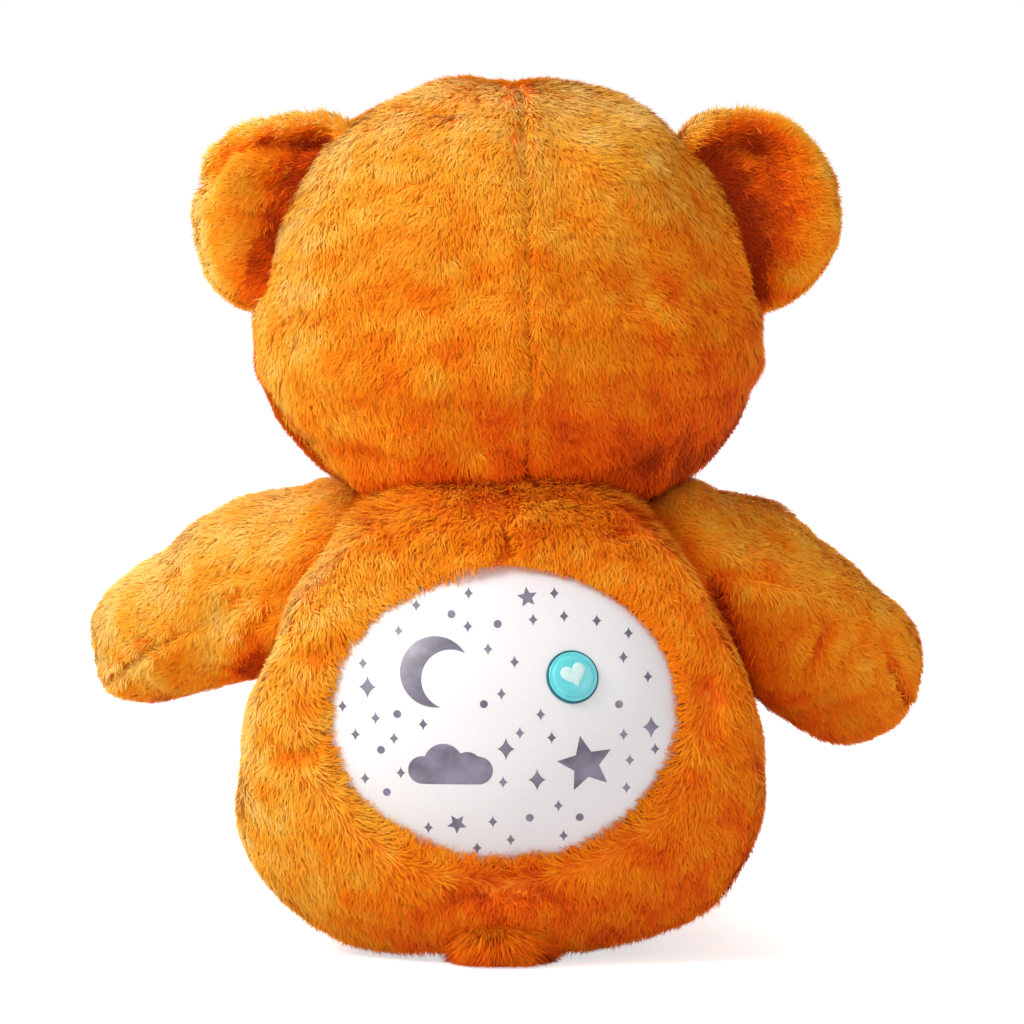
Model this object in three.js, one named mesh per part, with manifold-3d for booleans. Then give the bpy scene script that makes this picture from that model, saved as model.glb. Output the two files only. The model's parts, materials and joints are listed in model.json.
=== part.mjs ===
import * as THREE from 'three';
import { mergeVertices } from 'three/addons/utils/BufferGeometryUtils.js';
import Module from 'manifold-3d';

// A seated plush bear with a light unit in its back: a pierced oval star dome over a lamp board.
// Millimetres, +z up, the floor at z = 0 under the middle of the body. The bear faces -y, its back +y,
// and its own left side is +x.

const clearance = 0.3;
const jointRoom = 1.2;
const ballSkin = 0.2;
const overrun = 2;

// Stuffed forms: up and down are the lengths either side of the widest ring
const torso = {
  halfWidth: 87, depthFront: 64, depthBack: 62.5, widestHeight: 60, topHeight: 165, floorCut: 0.5,
  upPower: 2, downPower: 2.6, sectionPower: 2.8, roundByShare: 0.8, rings: 12, sides: 28,
};
torso.up = torso.topHeight - torso.widestHeight;
torso.down = torso.widestHeight + torso.floorCut;

const skull = {
  halfWidth: 85, depthFront: 63, depthBack: 60, up: 88, down: 52.5, upPower: 2.2, downPower: 2.6,
  rings: 10, sides: 24, neckSink: 14.5, turn: 5, shift: -1.5, forward: 3,
};
skull.height = torso.topHeight - skull.neckSink + skull.down;

const ear = {
  halfWidth: 34, depthFront: 9, depthBack: 9, up: 35, down: 35, upPower: 2.1, downPower: 2.1,
  cup: 9, rings: 8, sides: 16, centreHeight: 43, sinkLeft: 4, sinkRight: -4, toeIn: 14, lean: 8,
};

const arm = {
  ballRadius: 28.5, reach: { left: 86, right: 94 }, upPower: 3.6, taperShare: 0.14,
  rings: 10, sides: 18, shoulderDrop: 36, forward: 4, sink: 7.5, drop: { left: 24, right: 29 },
  droop: { left: 3, right: 9 }, forwardSwing: 12,
};
arm.shoulderHeight = torso.topHeight - arm.shoulderDrop;

const leg = {
  ballRadius: 28, reach: { left: 96, right: 96 }, upPower: 5, taperShare: 0.06,
  rings: 10, sides: 18, apart: 38, sink: 10, splay: 5, floorCut: 0.5, lift: 20,
  droop: { left: 0, right: 0 },
};

const sole = {
  halfWidth: 19, depthFront: 19, depthBack: 19, up: 3, down: 3, upPower: 2.4, downPower: 2.4,
  rings: 4, sides: 16, proud: 0.6,
};

const tail = {
  halfWidth: 17, depthFront: 13, depthBack: 13, up: 13, down: 13, upPower: 2, downPower: 2,
  rings: 8, sides: 14, centreHeight: 8.5, sink: 0,
};

const muzzle = {
  halfWidth: 29, depthFront: 19, depthBack: 19, up: 20, down: 20, upPower: 2.2, downPower: 2.2,
  rings: 8, sides: 16, below: 16, sink: 3,
};

const nose = {
  halfWidth: 9, depthFront: 5, depthBack: 5, up: 5.5, down: 7, upPower: 2.6, downPower: 2,
  rings: 6, sides: 14, above: 8, sink: 1.5,
};

// Locking posts of eyes and nose: a stem through the fabric and a washer pressed on behind it
const post = {
  stemRadius: 2, stemLength: 11, washerRadius: 7, washerThickness: 1.6, washerDepth: 6.5, sides: 10,
};
const eye = { radius: 6.5, height: 4.6, seat: 1, apart: 27, above: 7, rings: 3 };

// Light unit: heights count outward along its own axis from the plane of the dome's rim
const unit = { aboveWidest: 24, tilt: 4, rimSink: 7 };
unit.height = torso.widestHeight + unit.aboveWidest;
const mouthRoll = { radius: 7, lift: -3, steps: 5, sides: 32 };
const dome = {
  halfWidth: 58.5, ovalShare: 0.84, rise: 23, wall: 2, flangeWidth: 4, flangeThickness: 2.2,
  arcs: 5, sides: 32,
};
const lens = { wall: 1.4 };
const casing = {
  depth: 33, wall: 2, cupInset: 5, corner: 7, flangeThickness: 2, arcs: 2, sides: 28,
};
const well = {
  radius: 3.1, wall: 1.5, shelf: 3, angle: 42, ringShare: 0.84, bossRadius: 3.4, sides: 10,
};
const caseScrew = {
  headRadius: 2.7, headHeight: 2, shankRadius: 1.4, grip: 4, slotWidth: 0.8, slotDepth: 0.9,
};
const cell = { radius: 5.2, length: 43.5, tipRadius: 1.9, tipLength: 1, pitch: 11.6, count: 3, sides: 14 };
const contact = {
  springRadius: 3, springWire: 0.7, springLength: 4.4, springTurns: 2,
  plateWidth: 8, plateHeight: 9, plateThickness: 0.5,
};
const bay = { wall: 1.6, depth: 13 };
const door = {
  thickness: 1.2, lip: 2.4, screwMargin: 12, tongueWidth: 7, tongueReach: 1.2, tongueHeight: 1.4,
  cupWall: 1, cupFloor: 1, bossWall: 1.5, bossHeight: 9,
};
const board = {
  width: 58, height: 40, thickness: 1.6, standoff: 4, standoffRadius: 2.6, pegRadius: 1.2, edge: 5,
};
const lamp = {
  radius: 2.5, rimRadius: 2.9, rimHeight: 1, height: 8.6, spread: 8, count: 3, arcs: 3, sides: 10,
};
const lead = { radius: 0.6, sides: 6, steps: 6, slack: 1.5, aside: 4.5, loop: 6 };

// Button on the slope of the dome, square to its surface
const button = {
  right: 22.7, above: 13.4, radius: 8.5, proud: 1.7, crown: 0.7, travel: 1, lipWidth: 0.9, lipHeight: 1,
  stemRadius: 1.9, faceThickness: 1.6, shellWall: 1.2, rimWidth: 1.4, rimDrop: 0.7, arcs: 3, sides: 20,
};
const heart = { width: 8.6, depth: 0.7, proud: 0.35, steps: 28 };
const collar = { wall: 1.5, length: 12.5 };
const returnSpring = { radius: 5, wire: 0.7, turns: 3 };
const tact = { width: 6, height: 3.6, plungerRadius: 1.5, plungerLength: 2.6, plungerShow: 1.1 };
const switchBoard = { thickness: 1.2 };

// Windows of the dome, placed on its rim plane in millimetres right of and above its middle
const motif = {
  star: { outer: 9.5, innerShare: 0.46, right: 27, above: -15, turn: 12 },
  moon: { radius: 11.5, bite: 9.6, biteShift: 5.6, right: -22, above: 15, turn: -25, steps: 9 },
  cloud: { puff: 4.6, right: -17, above: -17, turn: 0, barShare: 2, reachShare: 2.5 },
};
const smallMotif = {
  star: 3.4, sparkle: 3.8, dot: 1.3, dotSides: 6, innerShare: 0.46, sparkleShare: 0.2, room: 2.6,
};
const scatter = { count: 34, reachShare: 0.86, goldenAngle: 137.508 };

// Puffs of the cloud: places right and above, and radii, as shares of the plain puff
const puffShares = [[-2, 0, 1], [2, 0, 1], [-0.5, 0.5, 1.4], [1.2, 0.33, 1]];

// A heart's height as shares of its half width: a lift, then waves of one to four turns
const heartLiftShare = 0.125;
const heartWaveShares = [0.8125, -0.3125, -0.125, -0.0625];

// Facets of round outlines, and of one turn of a wire
const outlineSteps = 5;
const winding = { steps: 8, sides: 5 };

const wasm = await Module();
wasm.setup();

// Solids: cuts and joins on closed meshes

function solidOf(geometry, matrix = new THREE.Matrix4()) {
  const placed = geometry.clone().applyMatrix4(matrix);
  placed.deleteAttribute('normal');
  placed.deleteAttribute('uv');
  const merged = mergeVertices(placed);
  const index = merged.index.array;
  const triangles = [];
  for (let i = 0; i < index.length; i += 3) {
    const [a, b, c] = [index[i], index[i + 1], index[i + 2]];
    if (a !== b && b !== c && c !== a) triangles.push(a, b, c);
  }
  return new wasm.Manifold(new wasm.Mesh({
    numProp: 3,
    vertProperties: new Float32Array(merged.attributes.position.array),
    triVerts: new Uint32Array(triangles),
  }));
}

function geometryOf(solid) {
  const mesh = solid.getMesh();
  const geometry = new THREE.BufferGeometry();
  geometry.setAttribute('position', new THREE.BufferAttribute(mesh.vertProperties, 3));
  geometry.setIndex(new THREE.BufferAttribute(mesh.triVerts, 1));
  geometry.computeVertexNormals();
  return geometry;
}

function joined(solids) {
  return solids.reduce((whole, piece) => whole.add(piece));
}

function cutBy(solid, cutters) {
  return cutters.reduce((left, cutter) => left.subtract(cutter), solid);
}

// Frames

function moved(x, y, z) {
  return new THREE.Matrix4().makeTranslation(x, y, z);
}

function framed(origin, xAxis, yAxis, zAxis) {
  return new THREE.Matrix4().makeBasis(xAxis, yAxis, zAxis).setPosition(origin);
}

function radians(angle) {
  return THREE.MathUtils.degToRad(angle);
}

// A frame whose z axis runs along a direction and whose y axis stays as near as it can to a given one
function framedAlong(origin, direction, near) {
  const zAxis = direction.clone().normalize();
  const yAxis = near.clone().addScaledVector(zAxis, -near.dot(zAxis)).normalize();
  return framed(origin, yAxis.clone().cross(zAxis), yAxis, zAxis);
}

function turnedAbout(point, axis, angle) {
  const there = moved(point.x, point.y, point.z);
  const turn = new THREE.Matrix4().makeRotationAxis(axis, radians(angle));
  return there.multiply(turn).multiply(moved(-point.x, -point.y, -point.z));
}

// Stuffed forms: superellipse rings along z, tapered above the widest ring, cupped or drooping if asked

function ringShare(form, height) {
  const reach = height < 0 ? form.down : form.up;
  const power = height < 0 ? form.downPower : form.upPower;
  const along = Math.min(Math.abs(height) / reach, 1);
  const taper = height > 0 ? 1 - (form.taperShare ?? 0) * along : 1;
  return taper * (1 - along ** power) ** (1 / power);
}

// How round a form's section has become at a height: nothing at the widest ring, all by its round share
function roundness(form, height) {
  if (!form.roundByShare) return 0;
  return THREE.MathUtils.clamp(height / (form.up * form.roundByShare), 0, 1) ** 2;
}

function depthOf(form, height, back) {
  const depth = back ? form.depthBack : form.depthFront;
  return THREE.MathUtils.lerp(depth, form.halfWidth, roundness(form, height));
}

function sectionPower(form, height) {
  return THREE.MathUtils.lerp(form.sectionPower ?? 2, 2, roundness(form, height));
}

// How far out a form's front or back lies at a place given across and up it
function surfaceOf(form, across, height, back) {
  const half = form.halfWidth * ringShare(form, height);
  const power = sectionPower(form, height);
  const share = (1 - (Math.abs(across) / half) ** power) ** (1 / power);
  return depthOf(form, height, back) * ringShare(form, height) * share;
}

function grown(form, by) {
  const bigger = { ...form };
  for (const size of ['halfWidth', 'depthFront', 'depthBack', 'up', 'down']) bigger[size] += by;
  return bigger;
}

function stuffed(form) {
  const points = [0, 0, -form.down];
  for (let ring = 1; ring < form.rings; ring += 1) {
    const turn = Math.PI * (ring / form.rings - 0.5);
    const reach = turn < 0 ? -form.down : form.up;
    const power = turn < 0 ? form.downPower : form.upPower;
    const height = reach * Math.abs(Math.sin(turn)) ** (2 / power);
    const share = ringShare(form, height);
    const droop = (form.droopBy ?? 0) * (Math.max(height, 0) / form.up) ** 2;
    const square = 2 / sectionPower(form, height);
    for (let side = 0; side < form.sides; side += 1) {
      const angle = (2 * Math.PI * side) / form.sides;
      const [cosine, sine] = [Math.cos(angle), Math.sin(angle)];
      const x = share * Math.sign(cosine) * Math.abs(cosine) ** square;
      const y = share * Math.sign(sine) * Math.abs(sine) ** square;
      const cup = (form.cup ?? 0) * (1 - x ** 2 - (height / reach) ** 2);
      points.push(form.halfWidth * x + droop, depthOf(form, height, sine > 0) * y + cup, height);
    }
  }
  points.push(form.droopBy ?? 0, 0, form.up);
  const top = points.length / 3 - 1;
  const triangles = [];
  for (let side = 0; side < form.sides; side += 1) {
    const next = (side + 1) % form.sides;
    triangles.push(0, 1 + next, 1 + side);
    for (let ring = 0; ring < form.rings - 2; ring += 1) {
      const [here, above] = [1 + ring * form.sides, 1 + (ring + 1) * form.sides];
      triangles.push(here + side, here + next, above + next, here + side, above + next, above + side);
    }
    const last = 1 + (form.rings - 2) * form.sides;
    triangles.push(last + side, last + next, top);
  }
  const geometry = new THREE.BufferGeometry();
  geometry.setAttribute('position', new THREE.Float32BufferAttribute(points, 3));
  geometry.setIndex(triangles);
  return geometry;
}

// Rigid forms

function facingOut(geometry) {
  const { position } = geometry.attributes;
  const index = geometry.index.array;
  const [a, b, c] = [new THREE.Vector3(), new THREE.Vector3(), new THREE.Vector3()];
  let volume = 0;
  for (let i = 0; i < index.length; i += 3) {
    a.fromBufferAttribute(position, index[i]);
    b.fromBufferAttribute(position, index[i + 1]);
    c.fromBufferAttribute(position, index[i + 2]);
    volume += a.dot(b.cross(c));
  }
  if (volume < 0) index.reverse();
  return geometry;
}

// A profile of [radius, height] pairs revolved round z, narrowed across y for an oval
function revolved(profile, sides, ovalShare = 1) {
  const outline = profile.map(([radius, height]) => new THREE.Vector2(radius, height));
  const geometry = new THREE.LatheGeometry(outline, sides);
  geometry.rotateX(Math.PI / 2);
  geometry.scale(1, ovalShare, 1);
  return facingOut(geometry);
}

function arcProfile(steps, radiusAt, heightAt) {
  return Array.from({ length: steps + 1 }, (_, step) => [radiusAt(step / steps), heightAt(step / steps)]);
}

function rod(radius, from, to, sides) {
  return revolved([[0, from], [radius, from], [radius, to], [0, to]], sides);
}

function ringOf(inner, outer, from, to, sides) {
  return revolved([[inner, from], [outer, from], [outer, to], [inner, to], [inner, from]], sides);
}

function block(width, height, from, to, x = 0, y = 0) {
  const geometry = new THREE.BoxGeometry(width, height, to - from);
  return geometry.translate(x, y, (from + to) / 2);
}

function extruded(outline, from, to) {
  const geometry = new THREE.ExtrudeGeometry(outline, {
    depth: to - from, bevelEnabled: false, curveSegments: outlineSteps,
  });
  return geometry.translate(0, 0, from);
}

// A wire wound round z, its least gap to itself being its pitch less its thickness
function coil(radius, wire, turns, from, to) {
  const { sides } = winding;
  const steps = winding.steps * turns;
  const points = [];
  for (let step = 0; step <= steps; step += 1) {
    const angle = (2 * Math.PI * step) / winding.steps;
    const height = THREE.MathUtils.lerp(from + wire / 2, to - wire / 2, step / steps);
    for (let side = 0; side < sides; side += 1) {
      const round = (2 * Math.PI * side) / sides;
      const reach = radius + (wire / 2) * Math.cos(round);
      points.push(reach * Math.cos(angle), reach * Math.sin(angle), height + (wire / 2) * Math.sin(round));
    }
  }
  const triangles = [];
  for (let step = 0; step < steps; step += 1) {
    for (let side = 0; side < sides; side += 1) {
      const [a, b] = [step * sides + side, step * sides + ((side + 1) % sides)];
      triangles.push(a, b, b + sides, a, b + sides, a + sides);
    }
  }
  const end = steps * sides;
  for (let side = 1; side < sides - 1; side += 1) {
    triangles.push(0, side + 1, side, end, end + side, end + side + 1);
  }
  const geometry = new THREE.BufferGeometry();
  geometry.setAttribute('position', new THREE.Float32BufferAttribute(points, 3));
  geometry.setIndex(triangles);
  console.log(`coil gap ${((to - from - wire) / turns - wire).toFixed(2)} mm`);
  return facingOut(geometry);
}

// Flat outlines

function pointedOutline(count, outer, innerShare, turn = 0) {
  const outline = new THREE.Shape();
  for (let corner = 0; corner < 2 * count; corner += 1) {
    const reach = corner % 2 ? outer * innerShare : outer;
    const angle = (Math.PI * corner) / count + Math.PI / 2 + radians(turn);
    outline[corner ? 'lineTo' : 'moveTo'](reach * Math.cos(angle), reach * Math.sin(angle));
  }
  outline.closePath();
  return outline;
}

function roundOutline(radius, steps) {
  return pointedOutline(steps / 2, radius, 1);
}

// Two lobes over a point: across as the cube of a sine, up as a sum of cosine waves
function heartOutline(width) {
  const half = width / 2;
  const outline = new THREE.Shape();
  for (let step = 0; step < heart.steps; step += 1) {
    const turn = (2 * Math.PI * step) / heart.steps;
    const rise = heartWaveShares.reduce((sum, share, wave) => sum + share * Math.cos((wave + 1) * turn), 0);
    outline[step ? 'lineTo' : 'moveTo'](half * Math.sin(turn) ** 3, half * (rise + heartLiftShare));
  }
  outline.closePath();
  return outline;
}

// Soft pieces

const sideSigns = { left: 1, right: -1 };
const bothSides = Object.keys(sideSigns);
const upward = new THREE.Vector3(0, 0, 1);
const backward = new THREE.Vector3(0, 1, 0);
const rightward = new THREE.Vector3(1, 0, 0);

const torsoFrame = moved(0, 0, torso.widestHeight);
const headFrame = moved(0, 0, skull.height)
  .multiply(new THREE.Matrix4().makeRotationZ(radians(skull.turn)));
const skullFrame = moved(skull.shift, -skull.forward, 0);

function shoulderOf(side) {
  const half = torso.halfWidth * ringShare(torso, arm.shoulderHeight - torso.widestHeight);
  return new THREE.Vector3(sideSigns[side] * (half - arm.sink), -arm.forward, arm.shoulderHeight);
}

function hipOf(side) {
  const height = leg.ballRadius - leg.floorCut;
  const front = surfaceOf(torso, leg.apart, height - torso.widestHeight, false);
  return new THREE.Vector3(sideSigns[side] * leg.apart, -(front - leg.sink), height);
}

function limbForm(limb, side) {
  return {
    ...limb, halfWidth: limb.ballRadius, depthFront: limb.ballRadius, depthBack: limb.ballRadius,
    up: limb.reach[side], down: limb.ballRadius, downPower: 2, droopBy: sideSigns[side] * limb.droop[side],
  };
}

function armFrame(side) {
  const [drop, swing] = [radians(arm.drop[side]), radians(arm.forwardSwing)];
  const direction = new THREE.Vector3(
    sideSigns[side] * Math.cos(drop) * Math.cos(swing), -Math.sin(swing), -Math.sin(drop) * Math.cos(swing),
  );
  return framedAlong(shoulderOf(side), direction, backward);
}

function legFrame(side) {
  const splay = radians(leg.splay);
  const direction = new THREE.Vector3(sideSigns[side] * Math.sin(splay), -Math.cos(splay), 0);
  return framedAlong(hipOf(side), direction, upward);
}

function floorCutter() {
  const wide = 2 * (arm.reach.right + torso.halfWidth);
  return solidOf(block(wide, wide, -torso.down, 0));
}

// The round root of a limb, grown by a room, in the limb's own frame
function ballOf(limb, frame, room) {
  const radius = limb.ballRadius + room;
  const ball = {
    halfWidth: radius, depthFront: radius, depthBack: radius, up: radius, down: radius,
    upPower: 2, downPower: 2, rings: limb.rings, sides: limb.sides,
  };
  return solidOf(stuffed(ball), frame);
}

// Body with its shoulder and hip sockets, without the pocket for the light unit
function socketedTorso() {
  const sockets = bothSides.flatMap((side) => [
    ballOf(arm, armFrame(side), jointRoom), ballOf(leg, legFrame(side), jointRoom),
  ]);
  return cutBy(solidOf(stuffed(torso), torsoFrame), sockets);
}

// What the body leaves of a limb beyond its round root, with the body turned about that root
function bodyRoom(limb, frame, turn = new THREE.Matrix4()) {
  const around = solidOf(stuffed(grown(torso, clearance)), turn.multiply(torsoFrame));
  return around.subtract(ballOf(limb, frame, ballSkin));
}

// The fabric puffs up in a roll round the oval mouth that the dome looks out of
function mouthSolid(by) {
  const middle = dome.halfWidth + clearance + mouthRoll.radius;
  const radius = mouthRoll.radius + by;
  const round = arcProfile(
    mouthRoll.steps,
    (t) => middle + radius * Math.cos(2 * Math.PI * t),
    (t) => mouthRoll.lift + radius * Math.sin(2 * Math.PI * t),
  );
  return solidOf(revolved(round, mouthRoll.sides, dome.ovalShare), unitFrame);
}

function bodyPiece() {
  const [cup, rim, mouth] = [cupRadius, rimRadius, dome.halfWidth].map((radius) => radius + clearance);
  const step = caseTop - casing.flangeThickness - clearance;
  const top = dome.rise + overrun;
  const pocket = solidOf(revolved([
    [0, caseFloor - clearance], [cup, caseFloor - clearance], [cup, step], [rim, step], [rim, clearance],
    [mouth, clearance], [mouth, top], [0, top],
  ], dome.sides, dome.ovalShare), unitFrame);
  return geometryOf(keepLargest(cutBy(socketedTorso().add(mouthSolid(0)), [floorCutter(), pocket])));
}

function armPiece(side) {
  const frame = armFrame(side);
  const limb = solidOf(stuffed(limbForm(arm, side)), frame);
  return geometryOf(keepLargest(cutBy(limb, [bodyRoom(arm, frame)])));
}

function legPiece(side) {
  const frame = legFrame(side);
  const limb = solidOf(stuffed(limbForm(leg, side)), frame);
  const lifted = bodyRoom(leg, frame, turnedAbout(hipOf(side), rightward, leg.lift));
  return geometryOf(keepLargest(cutBy(limb, [floorCutter(), bodyRoom(leg, frame), lifted])));
}

// A cut can leave loose slivers, so only the largest body is kept
function keepLargest(solid) {
  return solid.decompose().reduce((best, piece) => (piece.volume() > best.volume() ? piece : best));
}

function solePiece(side) {
  const frame = legFrame(side);
  const end = leg.reach[side] + sole.proud;
  const pad = solidOf(stuffed(sole), frame.clone().multiply(moved(0, 0, end)));
  const limb = solidOf(stuffed(grown(limbForm(leg, side), clearance)), frame);
  return geometryOf(cutBy(pad, [limb]));
}

function tailPiece() {
  const height = tail.centreHeight;
  const back = surfaceOf(torso, 0, height - torso.widestHeight, true);
  const tuft = solidOf(stuffed(tail), moved(0, back - tail.sink, height));
  const around = solidOf(stuffed(grown(torso, clearance)), torsoFrame);
  return geometryOf(keepLargest(cutBy(tuft, [around, mouthSolid(clearance), floorCutter()])));
}

// Head pieces, in the head's own frame

function skullSolid(by) {
  return solidOf(stuffed(grown(skull, by)), skullFrame);
}

// The neck seat is round about the axis that the head turns on
function neckSeat() {
  const round = { ...grown(torso, 2 * clearance), sectionPower: 2 };
  round.depthFront = round.halfWidth;
  round.depthBack = round.halfWidth;
  return solidOf(stuffed(round), moved(0, 0, torso.widestHeight - skull.height));
}

// A place on the face and the way the surface points there
function faceFrame(across, above) {
  const step = eye.radius;
  const at = (x, z) => new THREE.Vector3(x, -surfaceOf(skull, x, z, false), z);
  const alongX = at(across + step, above).sub(at(across - step, above));
  const alongZ = at(across, above + step).sub(at(across, above - step));
  const place = at(across, above).applyMatrix4(skullFrame);
  return framedAlong(place, alongX.cross(alongZ), upward);
}

function stemAndWasherRoom() {
  const inner = -post.stemLength - clearance;
  const [low, high] = [-post.washerDepth - post.washerThickness - clearance, -post.washerDepth + clearance];
  const stem = post.stemRadius + clearance;
  const wide = post.washerRadius + clearance;
  return [
    [0, inner], [stem, inner], [stem, low], [wide, low], [wide, high], [stem, high], [stem, overrun],
    [0, overrun],
  ];
}

function washerPiece() {
  const [from, to] = [-post.washerDepth - post.washerThickness, -post.washerDepth];
  return ringOf(post.stemRadius + clearance, post.washerRadius, from, to, post.sides);
}

function eyeProfile(by) {
  const top = arcProfile(
    eye.rings,
    (t) => (eye.radius + by) * Math.cos((t * Math.PI) / 2),
    (t) => -eye.seat + (eye.height + by) * Math.sin((t * Math.PI) / 2),
  );
  top[eye.rings][0] = 0;
  const stem = post.stemRadius + by;
  const low = -post.stemLength - by;
  return [
    [0, low], [stem, low], [stem, -eye.seat - by], [eye.radius + by, -eye.seat - by], ...top,
  ];
}

function eyeFrame(side) {
  return faceFrame(sideSigns[side] * eye.apart - skull.shift, eye.above);
}

function muzzleFrame() {
  const front = surfaceOf(skull, 0, -muzzle.below, false);
  return skullFrame.clone().multiply(moved(0, -(front - muzzle.sink), -muzzle.below));
}

function noseFrame() {
  const front = surfaceOf(muzzle, 0, nose.above, false);
  const place = new THREE.Vector3(0, -front, nose.above).applyMatrix4(muzzleFrame());
  return framedAlong(place, new THREE.Vector3(0, -1, 0), upward);
}

// The nose's own form stands upright, so it is laid into the frame that points out of the face
function noseForm(by) {
  return stuffed(grown(nose, by)).rotateX(-Math.PI / 2).translate(0, 0, nose.depthFront - nose.sink);
}

function headPiece() {
  const eyes = bothSides.flatMap((side) => [
    solidOf(revolved(stemAndWasherRoom(), post.sides), eyeFrame(side)),
    solidOf(revolved(eyeProfile(clearance), post.sides), eyeFrame(side)),
  ]);
  const noseRoom = solidOf(revolved(stemAndWasherRoom(), post.sides), noseFrame());
  return geometryOf(cutBy(skullSolid(0), [neckSeat(), ...eyes, noseRoom]));
}

function earPiece(side) {
  const sign = sideSigns[side];
  const half = skull.halfWidth * ringShare(skull, ear.centreHeight);
  const reach = half - (side === 'left' ? ear.sinkLeft : ear.sinkRight);
  const frame = skullFrame.clone()
    .multiply(moved(sign * reach, 0, ear.centreHeight))
    .multiply(new THREE.Matrix4().makeRotationZ(radians(-sign * ear.toeIn)))
    .multiply(new THREE.Matrix4().makeRotationY(radians(sign * ear.lean)));
  return geometryOf(keepLargest(cutBy(solidOf(stuffed(ear), frame), [skullSolid(clearance)])));
}

function muzzlePiece() {
  const form = solidOf(stuffed(muzzle), muzzleFrame());
  const noseRoom = solidOf(noseForm(clearance), noseFrame());
  const stemRoom = solidOf(revolved(stemAndWasherRoom(), post.sides), noseFrame());
  return geometryOf(cutBy(form, [skullSolid(clearance), noseRoom, stemRoom]));
}

function nosePiece() {
  const stem = rod(post.stemRadius, -post.stemLength, 0, post.sides);
  return geometryOf(joined([solidOf(noseForm(0)), solidOf(stem)]));
}

// Light unit

function domeHeight(radius, radiusAtRim, rise) {
  const curve = (radiusAtRim ** 2 + rise ** 2) / (2 * rise);
  return Math.sqrt(curve ** 2 - radius ** 2) - (curve - rise);
}

function capArc(halfWidth, rise, steps) {
  const radiusAt = (t) => halfWidth * (1 - t);
  return arcProfile(steps, radiusAt, (t) => domeHeight(radiusAt(t), halfWidth, rise));
}

const unitBack = surfaceOf(torso, 0, unit.height - torso.widestHeight, true) - unit.rimSink;
const unitTilt = radians(unit.tilt);
const unitFrame = framed(
  new THREE.Vector3(0, unitBack, unit.height),
  new THREE.Vector3(-1, 0, 0),
  new THREE.Vector3(0, -Math.sin(unitTilt), Math.cos(unitTilt)),
  new THREE.Vector3(0, Math.cos(unitTilt), Math.sin(unitTilt)),
);

const rimRadius = dome.halfWidth + dome.flangeWidth;
const innerDome = dome.halfWidth - dome.wall;
const caseTop = -dome.flangeThickness - clearance;
const caseFloor = caseTop - casing.depth;
const cupRadius = rimRadius - casing.cupInset;

// Points on the rim where the four screws stand
function wellPlaces() {
  return [1, -1].flatMap((side) => [1, -1].map((end) => [
    side * cupRadius * well.ringShare * Math.cos(radians(well.angle)),
    end * cupRadius * well.ringShare * dome.ovalShare * Math.sin(radians(well.angle)),
  ]));
}

// The button's frame: on the dome's outer face, square to it
function buttonFrame() {
  const at = (x, y) => new THREE.Vector3(
    x, y, domeHeight(Math.hypot(x, y / dome.ovalShare), dome.halfWidth, dome.rise),
  );
  const step = button.radius / 2;
  const alongX = at(button.right + step, button.above).sub(at(button.right - step, button.above));
  const alongY = at(button.right, button.above + step).sub(at(button.right, button.above - step));
  return framedAlong(at(button.right, button.above), alongX.cross(alongY), backward);
}

const collarRadius = button.radius + button.lipWidth + clearance;

function collarRoom(by) {
  const wide = collarRadius + collar.wall + by;
  return solidOf(rod(wide, -collar.length - by, overrun, button.sides), buttonFrame());
}

// Outlines of the pierced windows: three large ones, then small ones on a golden spiral
function windowOutlines() {
  const { star, moon, cloud } = motif;
  const large = [
    { ...star, shapes: [pointedOutline(5, star.outer, star.innerShare)], reach: star.outer },
    { ...moon, shapes: [moonOutline()], reach: moon.radius },
    { ...cloud, shapes: cloudOutlines(), reach: cloud.reachShare * cloud.puff },
    { right: button.right, above: button.above, turn: 0, shapes: [], reach: collarRadius + collar.wall },
  ];
  const small = [];
  for (let place = 1; place <= scatter.count; place += 1) {
    const reach = scatter.reachShare * innerDome * Math.sqrt(place / scatter.count);
    const angle = radians(scatter.goldenAngle * place);
    const [right, above] = [reach * Math.cos(angle), dome.ovalShare * reach * Math.sin(angle)];
    const free = large.every((one) => Math.hypot(right - one.right, above - one.above)
      > one.reach + smallMotif.sparkle + smallMotif.room);
    const clearOfWells = wellPlaces().every(([x, y]) => Math.hypot(right - x, above - y)
      > well.bossRadius + smallMotif.sparkle);
    if (!free || !clearOfWells) continue;
    const kinds = [
      pointedOutline(5, smallMotif.star, smallMotif.innerShare),
      roundOutline(smallMotif.dot, smallMotif.dotSides),
      pointedOutline(4, smallMotif.sparkle, smallMotif.sparkleShare),
      roundOutline(smallMotif.dot, smallMotif.dotSides),
    ];
    small.push({ right, above, turn: scatter.goldenAngle * place, shapes: [kinds[place % kinds.length]] });
  }
  return [...large, ...small];
}

// A crescent: the far side of one circle and the near side of another shifted across it
function moonOutline() {
  const { radius, bite, biteShift, steps } = motif.moon;
  const cross = (radius ** 2 - bite ** 2 + biteShift ** 2) / (2 * biteShift);
  const [outer, inner] = [Math.acos(cross / radius), Math.acos((cross - biteShift) / bite)];
  const outline = new THREE.Shape();
  for (let step = 0; step <= steps; step += 1) {
    const angle = THREE.MathUtils.lerp(outer, 2 * Math.PI - outer, step / steps);
    outline[step ? 'lineTo' : 'moveTo'](radius * Math.cos(angle), radius * Math.sin(angle));
  }
  for (let step = 1; step < steps; step += 1) {
    const angle = THREE.MathUtils.lerp(2 * Math.PI - inner, inner, step / steps);
    outline.lineTo(biteShift + bite * Math.cos(angle), bite * Math.sin(angle));
  }
  outline.closePath();
  return outline;
}

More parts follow.
